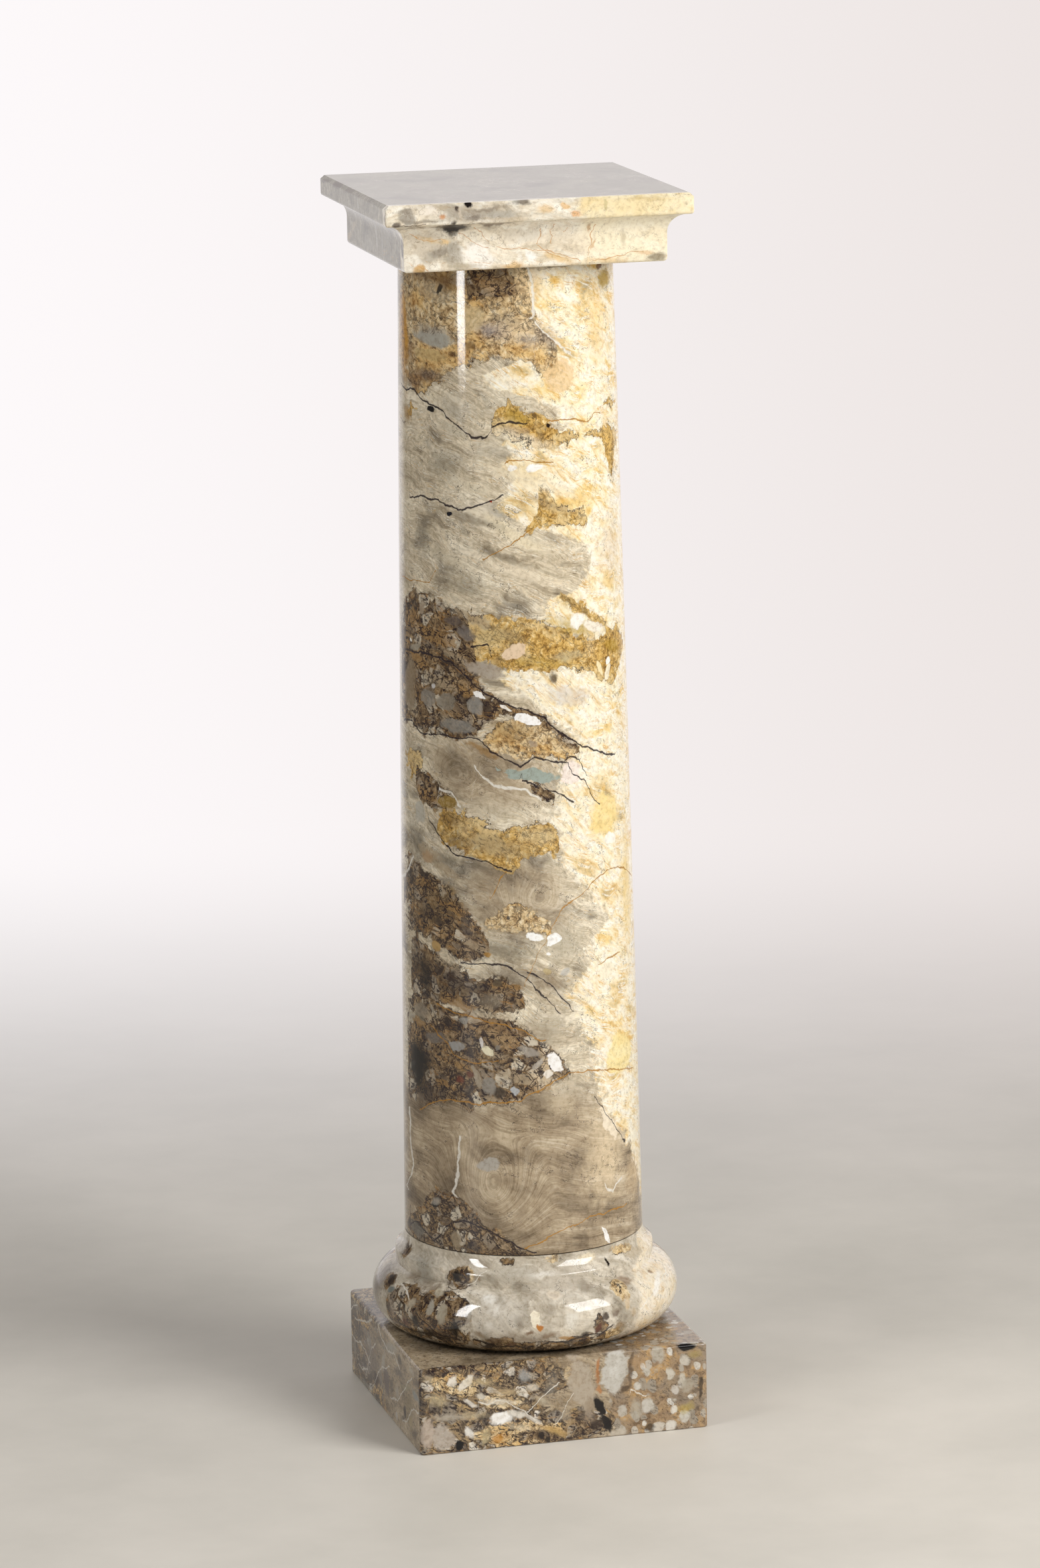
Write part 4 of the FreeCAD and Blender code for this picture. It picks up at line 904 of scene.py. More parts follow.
def base_marble():
    stone = Marble("base_marble", PHOTO_SIDE, 30.0)
    sheet = Sheet(stone, stone.around, -90.0, 180.0, 400.0, 70.0, 100.0)
    colour = drawn_marks(stone, stone.pale(), BASE_TINTS, on_base)
    right = sheet.inside(BASE_CREAM_EDGE, 1.0)
    colour = stone.lay(colour, right, stone.mix(0.5, stone.cream(), tone(238, 224, 204)), 16.0, 5.0)
    stone.rim = None
    colour, busy = stone.scattered(colour, BASE_BODIES, on_base, 4.0, 36.0)
    colour = stone.mix(stone.flecks(2.0, -60.0, 0.66, 0.71) * busy * 0.9, colour, INK)
    colour = stone.inked(colour, busy * stone.fade(stone.cloud, 0.62, 0.42))
    colour = drawn_marks(stone, colour, BASE_MARKS, on_base)
    colour = stone.veins(colour, sheet.gap(BASE_INK), 1.2, (40, 28, 24), 0.9)
    colour = stone.veins(colour, sheet.gap(BASE_WHITE), 0.8, (244, 238, 226), 0.8)
    # Painted shade: the base is darkened towards the foot of its torus, where it meets the plinth.
    colour = stone.shade(stone.fade(stone.height, 88.0, 79.0), colour, tone(132, 120, 106))
    return stone.polished(colour)


# ---- the plinth's pattern

# Half the sides of the square stones at the faces that carry marks, and the span of their sheets.
PLINTH_FACE, NECK_FACE, HOLLOW_FACE, SLAB_FACE = 130.0, 114.0, 121.0, 133.0
FACE_START, FACE_SPAN = -135.0, 270.0
# Degrees round from the front.
FRONT, LEFT = 0.0, -90.0

PLINTH_BODIES = {
    "busy": [
        (-96, 40, 60, 60, 0), (-30, 62, 44, 22, 0), (-20, 10, 60, 22, 0), (22, 16, 26, 18, 0),
        (-50, 30, 40, 20, 0),
    ],
    "ochre": [
        (-98, 62, 30, 15, 20), (-60, 42, 26, 10, 10), (-45, 11, 50, 14, 6), (8, 62, 10, 20, -10),
        (5, 12, 30, 9, 0),
    ],
    "dark": [(-112, 74, 20, 8, 0), (-30, 66, 26, 10, 0), (-20, 6, 34, 8, 0), (18, 14, 26, 14, 0)],
}
PLINTH_FRONT = [
    (-100, 66, 5, 7, 10, (240, 232, 218), 1.0, 0.4), (-88, 63, 4, 11, 40, (238, 230, 214), 1.0, 0.4),
    (-62, 41, 20, 3.4, 8, (232, 220, 198), 0.8, 0.6), (-85, 43, 8, 2.4, 35, (236, 230, 220), 0.8, 0.5),
    (-105, 32, 22, 5, 6, (182, 172, 156), 0.8, 0.7), (-125, 20, 8, 14, 0, (196, 180, 164), 0.9, 0.3),
    (-111, 14, 9, 14, -20, (190, 178, 164), 0.9, 0.3), (-88, 18, 5, 6, -30, (242, 238, 230), 0.9, 0.5),
    (-98, 4, 5, 6, 20, (14, 12, 14), 1.0, 0.4), (-60, 26, 11, 6, 6, (255, 252, 246), 1.0, 0.4),
    (-45, 28, 10, 4, 16, (232, 226, 214), 0.9, 0.5), (-30, 22, 12, 3, 28, (220, 212, 200), 0.8, 0.6),
    (-72, 12, 6, 9, 10, (206, 190, 150), 0.7, 0.5), (-60, 9, 8, 5, 0, (198, 138, 52), 0.8, 0.7),
    (-24, 6, 5, 4, 0, (34, 26, 24), 0.9, 0.6), (-17, 3, 4, 4, 0, (30, 24, 22), 0.9, 0.6),
    (-10, 10, 18, 4, 20, (214, 178, 112), 0.7, 0.7), (-36, 64, 8, 8, 0, (176, 176, 172), 0.7, 0.6),
    (-12, 55, 10, 22, 20, (150, 142, 128), 0.6, 1), (10, 57, 6, 12, -20, (206, 164, 84), 0.7, 0.6),
    (16, 50, 13, 34, -16, (186, 172, 152), 0.95, 0.3), (31, 62, 2.6, 16, 0, (186, 128, 78), 0.9, 0.6),
    (33, 43, 3, 5, 0, (196, 136, 82), 0.8, 0.6), (24, 30, 8, 8, 0, (160, 142, 118), 0.7, 0.6),
    (46, 60, 12, 24, 0, (204, 199, 188), 1.0, 0.2), (47, 62, 6, 20, 0, (222, 219, 210), 0.7, 0.8),
    (60, 60, 2.2, 22, 0, (92, 74, 58), 0.8, 0.6), (56, 42, 7, 3, -30, (70, 54, 42), 0.8, 0.6),
    (32, 28, 4, 11, -24, (26, 20, 18), 1.0, 0.4), (38, 12, 4, 11, -24, (24, 18, 17), 1.0, 0.4),
    (29, 12, 6, 8, 20, (62, 48, 38), 0.8, 0.7), (22, 20, 9, 9, 0, (150, 134, 116), 0.6, 0.7),
    (76, 25, 7, 8, 20, (206, 200, 188), 1.0, 0.3), (52, 24, 5, 7, 20, (196, 188, 174), 1.0, 0.3),
    (66, 22, 8, 10, 0, (182, 174, 158), 0.8, 0.4), (73, 55, 4, 5, 20, (204, 198, 184), 1.0, 0.4),
    (66, 42, 4, 4, 0, (212, 206, 194), 1.0, 0.4), (96, 53, 4, 6, 0, (208, 200, 184), 1.0, 0.4),
    (107, 48, 4, 8, -20, (204, 196, 180), 1.0, 0.4), (98, 20, 4, 4, 0, (228, 222, 210), 1.0, 0.4),
    (110, 63, 6, 6, 0, (206, 198, 184), 1.0, 0.4), (102, 38, 4, 5, -20, (206, 198, 186), 1.0, 0.4),
    (112, 42, 8, 8, -20, (178, 168, 150), 0.8, 0.4), (85, 71, 7, 10, -20, (190, 182, 166), 0.9, 0.4),
    (95, 4, 5, 8, 0, (222, 216, 204), 1.0, 0.3), (85, 4, 5, 8, 20, (212, 204, 190), 1.0, 0.3),
    (108, 12, 6, 6, -20, (206, 202, 190), 0.9, 0.4), (78, 5, 6, 5, 0, (42, 30, 24), 0.8, 0.6),
    (110, 76, 9, 3.6, 0, (18, 14, 14), 1.0, 0.4), (124, 36, 2.4, 16, 4, (52, 40, 32), 0.8, 0.6),
    (110, 20, 12, 6, 0, (186, 166, 76), 0.5, 0.8), (119, 68, 8, 5, 0, (178, 156, 84), 0.5, 0.8),
    (66, 66, 8, 10, 0, (176, 146, 110), 0.7, 0.7), (48, 3, 9, 5, 0, (204, 194, 176), 0.8, 0.4),
    (-114, 48, 14, 8, 10, (208, 190, 152), 0.6, 0.8), (-82, 32, 20, 5, 6, (218, 200, 164), 0.6, 0.8),
    (-52, 50, 20, 5, 10, (210, 186, 144), 0.6, 0.8), (-74, 62, 18, 6, 10, (212, 190, 146), 0.6, 0.8),
    (-122, 68, 8, 6, 0, (202, 184, 152), 0.6, 0.8), (-44, 16, 16, 4, 20, (222, 206, 176), 0.6, 0.8),
    (-20, 38, 12, 5, 30, (206, 194, 170), 0.6, 0.8), (0, 24, 8, 10, -20, (190, 176, 152), 0.6, 0.8),
    (-30, 52, 8, 5, 0, (232, 222, 204), 0.7, 0.6), (-76, 48, 6, 3, 20, (240, 232, 214), 0.7, 0.6),
]
PLINTH_LEFT = [
    (-60, 35, 74, 34, -4, (118, 108, 102), 0.8, 1), (-34, 20, 12, 10, -10, (64, 42, 40), 0.95, 0.5),
    (7, 32, 13, 20, -10, (110, 96, 92), 0.9, 0.4), (-14, 26, 9, 15, -30, (150, 142, 132), 0.8, 0.6),
    (-3, 46, 7, 18, 30, (178, 172, 158), 0.8, 0.6), (25, 67, 34, 8, -10, (168, 164, 154), 0.8, 0.8),
    (50, 52, 24, 6, -10, (106, 94, 84), 0.8, 0.7), (90, 30, 30, 22, -20, (124, 108, 74), 0.7, 0.9),
    (75, 21, 6, 8, -10, (42, 30, 28), 1.0, 0.5), (68, 12, 10, 5, -20, (72, 52, 36), 0.8, 0.7),
    (40, 7, 7, 4, -10, (190, 184, 174), 0.9, 0.4), (112, 48, 16, 5, 10, (142, 148, 148), 0.8, 0.6),
    (118, 62, 14, 6, -10, (74, 58, 50), 0.7, 0.8), (108, 12, 12, 6, -20, (72, 58, 46), 0.8, 0.8),
    (80, 46, 30, 5, -16, (168, 160, 130), 0.7, 0.8), (-110, 68, 30, 8, -10, (140, 136, 128), 0.6, 0.9),
    (-75, 4, 40, 5, -6, (150, 146, 136), 0.7, 0.7), (72, 75, 8, 3, 0, (126, 98, 58), 0.7, 0.7),
    (-96, 44, 16, 10, -20, (78, 68, 64), 0.7, 0.8), (-58, 48, 12, 8, -10, (168, 162, 150), 0.7, 0.8),
    (-80, 24, 14, 8, 20, (70, 60, 56), 0.7, 0.8), (-116, 26, 10, 14, 0, (152, 146, 136), 0.6, 0.8),
    (24, 32, 10, 12, -20, (74, 62, 56), 0.7, 0.8), (44, 32, 10, 8, 10, (176, 170, 156), 0.7, 0.7),
    (58, 66, 12, 5, -10, (60, 48, 42), 0.7, 0.8), (100, 68, 10, 5, 0, (184, 176, 158), 0.7, 0.7),
    (-16, 64, 16, 6, -10, (90, 78, 70), 0.7, 0.8), (96, 20, 8, 6, 0, (176, 160, 120), 0.7, 0.7),
]
PLINTH_WHITE = [
    [(-36, 28), (-28, 36), (-18, 45), (-8, 53), (-4, 56)], [(-9, 14), (-4, 22), (2, 34), (6, 42)],
    [(-80, 44), (-70, 40), (-60, 42), (-46, 34), (-36, 27), (-26, 20)], [(60, 40), (66, 36), (74, 34)],
]
PLINTH_LEFT_WHITE = [
    [(-128, 60), (-112, 67), (-100, 71)], [(-110, 57), (-88, 59), (-66, 65), (-44, 72)],
    [(-50, 8), (-42, 14), (-30, 26), (-10, 38), (4, 44), (18, 50)], [(20, 20), (46, 24), (70, 40), (100, 62)],
    [(-126, 36), (-108, 34), (-92, 40), (-72, 36), (-56, 30)],
    [(-20, 74), (-4, 66), (16, 62), (34, 66), (56, 58)],
    [(-100, 16), (-84, 14), (-66, 22), (-52, 44), (-34, 54)], [(64, 8), (82, 14), (98, 30), (122, 36)],
]


def flat_sheet(stone, along, low, tall):
    """A square stone's face, with the mm along it from its sheet's start."""
    return Sheet(stone, along / FACE_SPAN, FACE_START, FACE_SPAN, FACE_SPAN, low, tall)


def plinth_marble():
    stone = Marble("plinth_marble", 0.0, 16.0)
    sheet = flat_sheet(stone, stone.across - FACE_START, -2.0, 84.0)
    colour = stone.mix(0.45, stone.flowing([]), stone.shade(1.0, stone.grey(), tone(214, 206, 196)))
    right = stone.across - 40.0 + (stone.height - 40.0) * 0.1
    colour = stone.lay(colour, right.greater(stone.loose(60.0, 0.6, 5)), stone.pebbled(), 16.0)
    stone.rim = None
    colour, busy = stone.scattered(colour, PLINTH_BODIES, on_face(PLINTH_FACE, FRONT), 3.0, 40.0)
    colour = stone.mix(stone.flecks(2.0, 30.0, 0.66, 0.70) * (busy * 0.5 + 0.4), colour, INK)
    colour = stone.inked(colour, busy * stone.fade(stone.cloud, 0.66, 0.48) * 0.9)
    colour = drawn_marks(stone, colour, PLINTH_FRONT, on_face(PLINTH_FACE, FRONT))
    colour = drawn_marks(stone, colour, PLINTH_LEFT, on_face(PLINTH_FACE, LEFT))
    colour = stone.veins(colour, sheet.gap(PLINTH_WHITE), 0.8, (236, 232, 222), 0.8)
    side = flat_sheet(stone, -FACE_START - stone.inward, -2.0, 84.0)
    near = stone.fade(stone.across, -124.0, -128.0)
    gap = side.gap(PLINTH_LEFT_WHITE) + (1 - near) * 20
    colour = stone.veins(colour, gap, 1.2, (214, 208, 196), 0.85)
    return stone.polished(colour)


# ---- the capital's pattern

CAPITAL_TINTS = [
    (-92, 1050, 34, 26, 0, (206, 194, 174), 0.9, 0.8), (-45, 1066, 30, 5, 0, (160, 148, 130), 0.7, 0.9),
    (-10, 1056, 26, 9, 0, (222, 212, 194), 0.8, 0.8), (24, 1055, 18, 12, 0, (232, 220, 198), 0.6, 0.8),
]
CAPITAL_NECK = [
    (-108, 1036, 9, 9, 0, (246, 240, 226), 0.9, 0.3), (-102, 1031, 6, 5, 20, (206, 160, 84), 0.8, 0.6),
    (-86, 1043, 18, 7, -10, (140, 132, 120), 0.7, 0.7), (-70, 1040, 12, 16, -30, (160, 152, 138), 0.7, 0.6),
    (-70, 1061, 8, 8, -30, (96, 88, 76), 0.9, 0.4), (-54, 1053, 12, 10, 20, (240, 230, 210), 0.9, 0.5),
    (-48, 1040, 18, 13, 10, (253, 247, 236), 1.0, 0.4), (-30, 1043, 12, 8, 10, (250, 240, 220), 0.9, 0.5),
    (-4, 1039, 6, 5, 0, (255, 252, 244), 1.0, 0.5), (-14, 1037, 3, 4, 0, (252, 246, 232), 0.9, 0.5),
    (40, 1046, 14, 18, 0, (246, 232, 206), 0.7, 0.8),
    (34, 1033, 8, 4, 0, (255, 246, 226), 0.9, 0.5), (104, 1032, 10, 5, -10, (158, 146, 122), 0.9, 0.5),
    (-20, 1031, 18, 4, 0, (226, 178, 92), 0.7, 0.8), (20, 1034, 16, 5, 20, (232, 196, 130), 0.7, 0.8),
    (60, 1030, 26, 4, 0, (232, 196, 136), 0.6, 0.8), (94, 1036, 12, 3, 0, (224, 182, 130), 0.6, 0.8),
    (-90, 1054, 18, 3, 20, (220, 192, 146), 0.7, 0.7), (-78, 1052, 7, 3, 10, (238, 206, 150), 0.8, 0.6),
    (75, 1050, 4, 6, -10, (200, 184, 152), 0.6, 0.7), (46, 1058, 2, 6, 0, (214, 176, 130), 0.8, 0.6),
    (48, 1044, 1.6, 6, 20, (216, 182, 138), 0.8, 0.6), (-66, 1031, 20, 4, 0, (176, 162, 136), 0.6, 0.8),
]
CAPITAL_SLAB = [
    (-60, 1078, 62, 12, 0, (156, 145, 130), 0.85, 1), (-96, 1081, 11, 5, 10, (248, 238, 222), 0.9, 0.5),
    (-114, 1076, 12, 6, 20, (156, 148, 136), 0.8, 0.5), (-85, 1076, 5, 4, 0, (206, 150, 104), 0.9, 0.6),
    (-100, 1072, 7, 3, 0, (238, 226, 204), 0.7, 0.6), (-72, 1082, 3, 3.4, 0, (62, 48, 40), 0.9, 0.6),
    (-75, 1070, 4, 3, 0, (52, 40, 36), 0.9, 0.6), (-62, 1086, 5, 3, 0, (30, 24, 22), 1.0, 0.5),
    (-58, 1074, 12, 4, 0, (118, 106, 94), 0.7, 0.7), (-70, 1078, 2, 9, 4, (222, 208, 186), 0.6, 0.7),
    (-30, 1076, 24, 6, 0, (184, 178, 166), 0.7, 0.7), (-14, 1085, 10, 3, 0, (72, 56, 42), 0.7, 0.7),
    (3, 1078, 8, 5, 0, (236, 206, 160), 0.8, 0.6), (20, 1080, 7, 3, 0, (238, 196, 138), 0.8, 0.6),
    (30, 1074, 7, 4, 10, (232, 176, 116), 0.8, 0.6), (80, 1078, 60, 16, 0, (244, 224, 176), 0.85, 1),
    (58, 1079, 2, 7, 0, (214, 198, 150), 0.8, 0.5), (-126, 1071, 5, 3, 0, (70, 56, 48), 0.8, 0.6),
    (94, 1084, 30, 3, 0, (206, 178, 116), 0.5, 0.9), (-98, 1073, 26, 2.6, 4, (128, 118, 104), 0.7, 0.8),
    (-44, 1082, 30, 2.6, -3, (138, 126, 110), 0.7, 0.8), (-30, 1072, 26, 2.4, 3, (206, 190, 164), 0.7, 0.8),
    (-118, 1082, 12, 3, 0, (128, 116, 100), 0.7, 0.8), (-84, 1083, 10, 3, 0, (190, 172, 144), 0.7, 0.8),
]
CAPITAL_SLAB_LEFT = [
    (-110, 1085, 24, 3.4, -4, (92, 72, 54), 0.9, 0.6), (-66, 1084, 24, 3.2, -4, (98, 78, 60), 0.9, 0.6),
    (-20, 1085, 22, 2.8, -4, (112, 94, 76), 0.8, 0.7), (30, 1086, 24, 2, -4, (120, 104, 86), 0.6, 0.8),
    (-86, 1074, 5, 2.6, 0, (120, 112, 102), 0.6, 0.8), (130, 1077, 4, 5, 0, (96, 76, 66), 0.8, 0.7),
    (22, 1078, 2.4, 9, -20, (206, 204, 198), 0.6, 0.7),
]
CAPITAL_NECK_LEFT = [
    (7, 1050, 4, 16, -16, (206, 204, 198), 0.7, 0.7), (32, 1042, 3, 12, -10, (200, 198, 190), 0.6, 0.7),
    (108, 1048, 4, 12, -16, (52, 42, 38), 0.95, 0.5), (112, 1036, 8, 8, 0, (238, 230, 214), 0.8, 0.5),
    (-85, 1044, 16, 4, -30, (200, 184, 156), 0.7, 0.7), (-105, 1036, 12, 4, -10, (198, 178, 146), 0.7, 0.7),
    (50, 1052, 30, 10, 0, (164, 158, 146), 0.5, 1), (-30, 1040, 30, 10, 0, (170, 166, 154), 0.5, 1),
    (-72, 1058, 4, 5, -20, (206, 204, 194), 0.6, 0.7), (84, 1058, 10, 2.4, -20, (206, 200, 184), 0.6, 0.7),
]
CAPITAL_ORANGE = [
    [(-32, 1048), (-24, 1045), (-10, 1044), (2, 1043), (10, 1042), (20, 1038), (28, 1034), (36, 1030)],
    [(48, 1030), (58, 1031), (68, 1034), (80, 1037), (92, 1037)],
    [(-108, 1062), (-100, 1056), (-90, 1053), (-78, 1054)],
    [(-66, 1058), (-56, 1054), (-50, 1048), (-40, 1046)], [(2, 1047), (10, 1040), (22, 1034)],
    [(-104, 1036), (-100, 1031), (-94, 1029)], [(-54, 1062), (-46, 1059), (-40, 1052)],
]
# Steep orange veins, as (height, mm along the face).
CAPITAL_UPRIGHT = [
    [(1034, 44), (1044, 46), (1052, 47), (1060, 52)], [(1048, 2), (1055, 5), (1060, 4)],
    [(1046, 13), (1052, 15), (1058, 12), (1062, 14)], [(1056, 22), (1060, 26)],
]
# Stains in the hollow under the slab, darkened further as painted shade.
CAPITAL_HOLLOW = [
    (-71, 1064, 20, 7, 4, (34, 26, 22), 1.0, 0.5), (-40, 1067, 30, 2.6, 0, (96, 76, 58), 0.8, 0.7),
    (-100, 1067, 24, 2.4, 0, (120, 98, 74), 0.7, 0.7),
]
CAPITAL_DARK = [
    [(-82, 1066), (-74, 1067), (-64, 1067), (-50, 1068)], [(-128, 1070), (-112, 1071), (-98, 1070)],
]


def capital_marble():
    stone = Marble("capital_marble", math.radians(-CAPITAL_TURN), 10.0)
    sheet = flat_sheet(stone, stone.across - FACE_START, 1024.0, 66.0)
    flecks = stone.clouds(stone.scaled(stone.place, 3.0, 17.0, 12.0), 1.0, 4.0, 0.6)
    sides = stone.shade(1.0, stone.pale(), stone.ramp(
        flecks, (0.36, 178, 177, 171), (0.56, 198, 198, 192), (0.66, 244, 244, 240)))
    # Painted shade: the top face of the slab is painted darker than the sides.
    top = stone.shade(1.0, stone.pale(), tone(182, 184, 173))
    sides = stone.mix(stone.fade(stone.height, 1085.0, 1086.4), sides, top)
    face = stone.ramp(stone.cloud, (0.3, 222, 210, 188), (0.42, 246, 234, 212), (0.5, 255, 249, 234),
                      (0.56, 244, 232, 210), (0.64, 255, 248, 230))
    face = stone.shade(0.7, face, stone.ramp(
        stone.fold, (0.34, 206, 200, 190), (0.42, 244, 241, 235), (0.47, 226, 221, 212),
        (0.52, 255, 255, 255)))
    face = drawn_marks(stone, face, CAPITAL_TINTS, on_face(NECK_FACE, FRONT))
    right = stone.across - 38.0 + (stone.cloud - 0.5) * 30 + (stone.mottle - 0.5) * 16
    warm = stone.ramp(stone.cloud, (0.4, 246, 228, 184), (0.5, 252, 240, 208), (0.6, 244, 222, 172))
    slab = stone.fade(stone.height, 1066.0, 1070.0)
    warm = stone.mix(slab, stone.mix(0.6, warm, tone(255, 248, 228)), warm)
    face = stone.mix(stone.fade(right, -5.0, 5.0), face, warm)
    colour = stone.mix(stone.fade(stone.inward + slab * 21, -101.0, -104.0), sides, face)
    for marks, laid in ((CAPITAL_NECK, on_face(NECK_FACE, FRONT)), (CAPITAL_SLAB, on_face(SLAB_FACE, FRONT)),
                        (CAPITAL_SLAB_LEFT, on_face(SLAB_FACE, LEFT)),
                        (CAPITAL_NECK_LEFT, on_face(NECK_FACE, LEFT)),
                        # The hollow's marks are darkened as painted shade.
                        (CAPITAL_HOLLOW, on_face(HOLLOW_FACE, FRONT))):
        colour = drawn_marks(stone, colour, marks, laid)
    rust = stone.fade(abs(stone.fold - 0.5), 0.012, 0.003) * stone.fade(stone.mottle, 0.5, 0.6)
    low = stone.fade(stone.height, 1048.0, 1034.0)
    colour = stone.mix(rust * low * stone.front * 0.7, colour, tone(214, 164, 92))
    breaks = stone.fade(abs(stone.clouds(stone.ragged, 24.0, 6.0, 0.62) - 0.5), 0.006, 0.001)
    colour = stone.mix(breaks * stone.fade(stone.fold, 0.48, 0.54) * 0.6, colour, tone(128, 108, 84))
    colour = stone.veins(colour, sheet.gap(CAPITAL_ORANGE, CAPITAL_UPRIGHT), 0.5, (206, 154, 90), 0.7)
    colour = stone.veins(colour, sheet.gap(CAPITAL_DARK), 0.6, (84, 66, 52), 0.8)
    return stone.polished(colour)


# ---- what lies between and inside the stones

RINGS_PER_METRE = 4000

def iron_finish():
    """Black wrought iron with a little rust."""
    bar = Finish("iron")
    scale = bar.clouds(bar.node("TexCoord", {}, [], "Object"), 0.004, 4.0, 0.6)
    colour = bar.ramp(scale, (0.35, 44, 41, 39), (0.55, 72, 66, 61), (0.7, 96, 68, 50))
    wave = bar.bumps(scale, 0.4, 0.0003)
    return bar.surface(Base_Color=colour, Metallic=0.8, Roughness=scale * 0.3 + 0.4, Normal=wave)


def cast_finish(name, dark, light, grit):
    """Plaster or mastic, matt and a little gritty."""
    bed = Finish(name)
    grain = bed.clouds(bed.node("TexCoord", {}, [], "Object"), grit, 5.0, 0.65)
    wave = bed.bumps(grain, 0.5, 0.0003)
    colour = bed.ramp(grain, (0.36, *dark), (0.64, *light))
    return bed.surface(Base_Color=colour, Roughness=grain * 0.2 + 0.7, Normal=wave)


def brass_finish():
    """Turned brass, dull, with fine rings round its axis."""
    ring = Finish("brass")
    place = ring.node("TexCoord", {}, [], "Object")
    across, inward = ring.parts(place, "XY")
    out = across.worked("SQRT", across * across + inward * inward)
    lines = ring.clouds(ring.node("CombineXYZ", {}, [out * RINGS_PER_METRE]), 1.0, 2.0)
    stain = ring.clouds(place, 0.02, 4.0, 0.6)
    colour = ring.ramp(stain, (0.35, 150, 118, 66), (0.6, 196, 160, 96))
    wave = ring.bumps(lines, 0.2, 0.0001)
    return ring.surface(Base_Color=colour, Metallic=1.0, Roughness=stain * 0.2 + 0.25, Normal=wave)


# ---------------------------------------------------------------- stone shapes

SIDE_STEPS = 80
CORNER_STEPS = 8
ROUND_STEPS = 256
SHARP_DEGREES = 35
# Points laid this close to a rounding's ends keep the shading of the flats beside it flat.
HOLD = 0.0005


def arc(centre, radius, start, end, steps):
    """Points (out, up) on an arc, angles in degrees from straight out towards straight up."""
    angles = [math.radians(start + (end - start) * i / steps) for i in range(steps + 1)]
    return [(centre[0] + radius * math.cos(a), centre[1] + radius * math.sin(a)) for a in angles]


def square_outline(half, corner):
    """Points round a square whose corners are rounded, anticlockwise from the right side's foot."""
    points = []
    for quarter in range(4):
        turn = Matrix.Rotation(quarter * math.pi / 2, 2)
        bend = arc((half - corner, half - corner), corner, 0, 90, CORNER_STEPS)
        side_end = half - corner
        side = [(half, side_end * (2 * i / SIDE_STEPS - 1)) for i in range(1, SIDE_STEPS)]
        points += [turn @ Vector(p) for p in [*side, *bend]]
    return points


def round_outline(radius, like):
    """Points round a circle, one in the direction of each point of another outline."""
    return [Vector(p).normalized() * radius for p in like]


def lofted(name, rings, closed):
    """A mesh piece through rings of points. Open ends close on their own middles."""
    count = len(rings[0])
    points = [p for ring in rings for p in ring]
    faces = []
    pairs = list(zip(range(len(rings)), range(1, len(rings))))
    if closed:
        pairs.append((len(rings) - 1, 0))
    for low, high in pairs:
        for i in range(count):
            j = (i + 1) % count
            faces.append((low * count + i, low * count + j, high * count + j, high * count + i))
    if not closed:
        for ring, flip in ((0, True), (len(rings) - 1, False)):
            middle = sum((Vector(p) for p in rings[ring]), Vector()) / count
            points.append(middle)
            for i in range(count):
                edge = (ring * count + i, ring * count + (i + 1) % count)
                faces.append((*(edge[::-1] if flip else edge), len(points) - 1))
    mesh = bpy.data.meshes.new(name)
    mesh.from_pydata([tuple(p) for p in points], [], faces)
    mesh.validate()
    piece = bpy.data.objects.new(name, mesh)
    bpy.context.scene.collection.objects.link(piece)
    mesh.shade_smooth()
    mesh.set_sharp_from_angle(angle=math.radians(SHARP_DEGREES))
    return piece


def width(node):
    """How wide a piece of the frame is."""
    low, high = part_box(node)
    return high.x - low.x


def heights(node):
    """Where a piece of the frame starts and ends, going up."""
    low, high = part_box(node)
    return low.z, high.z


# ---- round stones

TORUS_RADIUS = 0.0295
BAND_RADIUS = 0.1144
BAND_ARRIS = 0.0012
FLARE_HEIGHT = 0.0154
DOWEL_SLIP = 0.001


def rings_of_revolution(section):
    """Rings through each (out, up) point of a turned section."""
    ring = [(math.cos(2 * math.pi * i / ROUND_STEPS), math.sin(2 * math.pi * i / ROUND_STEPS))
            for i in range(ROUND_STEPS)]
    return [[(out * x, out * y, up) for x, y in ring] for out, up in section]


def make_base():
    """The turned base: a torus, a band and a hollow that ends at the shaft, with a bore for the dowel."""
    foot, top = heights("base_moulding")
    reach = width("base_moulding") / 2
    bore = width("base_dowel") / 2 + DOWEL_SLIP
    crown = width("shaft") / 2
    seat = reach - TORUS_RADIUS
    meet = math.degrees(math.acos((BAND_RADIUS - seat) / TORUS_RADIUS))
    band_top = top - FLARE_HEIGHT
    out, rise = BAND_RADIUS - crown, FLARE_HEIGHT
    hollow = (out ** 2 + rise ** 2) / (2 * out)
    sweep = math.degrees(math.asin(rise / hollow))
    rim = arc((BAND_RADIUS - BAND_ARRIS, band_top - BAND_ARRIS), BAND_ARRIS, 0, 45, 4)
    flare = arc((crown + hollow, top), -hollow, sweep * 0.97, 0, 16)
    section = [(bore, foot), (seat * 0.6, foot), (seat - 0.001, foot)]
    section += arc((seat, foot + TORUS_RADIUS), TORUS_RADIUS, -90, meet, 40)
    section += [(BAND_RADIUS, foot + TORUS_RADIUS + TORUS_RADIUS * math.sin(math.radians(meet)) + 0.0006)]
    section += rim + flare
    section += [(crown - 0.0004, top), (crown * 0.6, top), (bore, top)]
    return lofted("base_stone", rings_of_revolution(section), True)


SHAFT_HEAD_RADIUS = 0.0925
ENTASIS = 0.0008
SHAFT_ARRIS = 0.0012
SHAFT_STEPS = 60


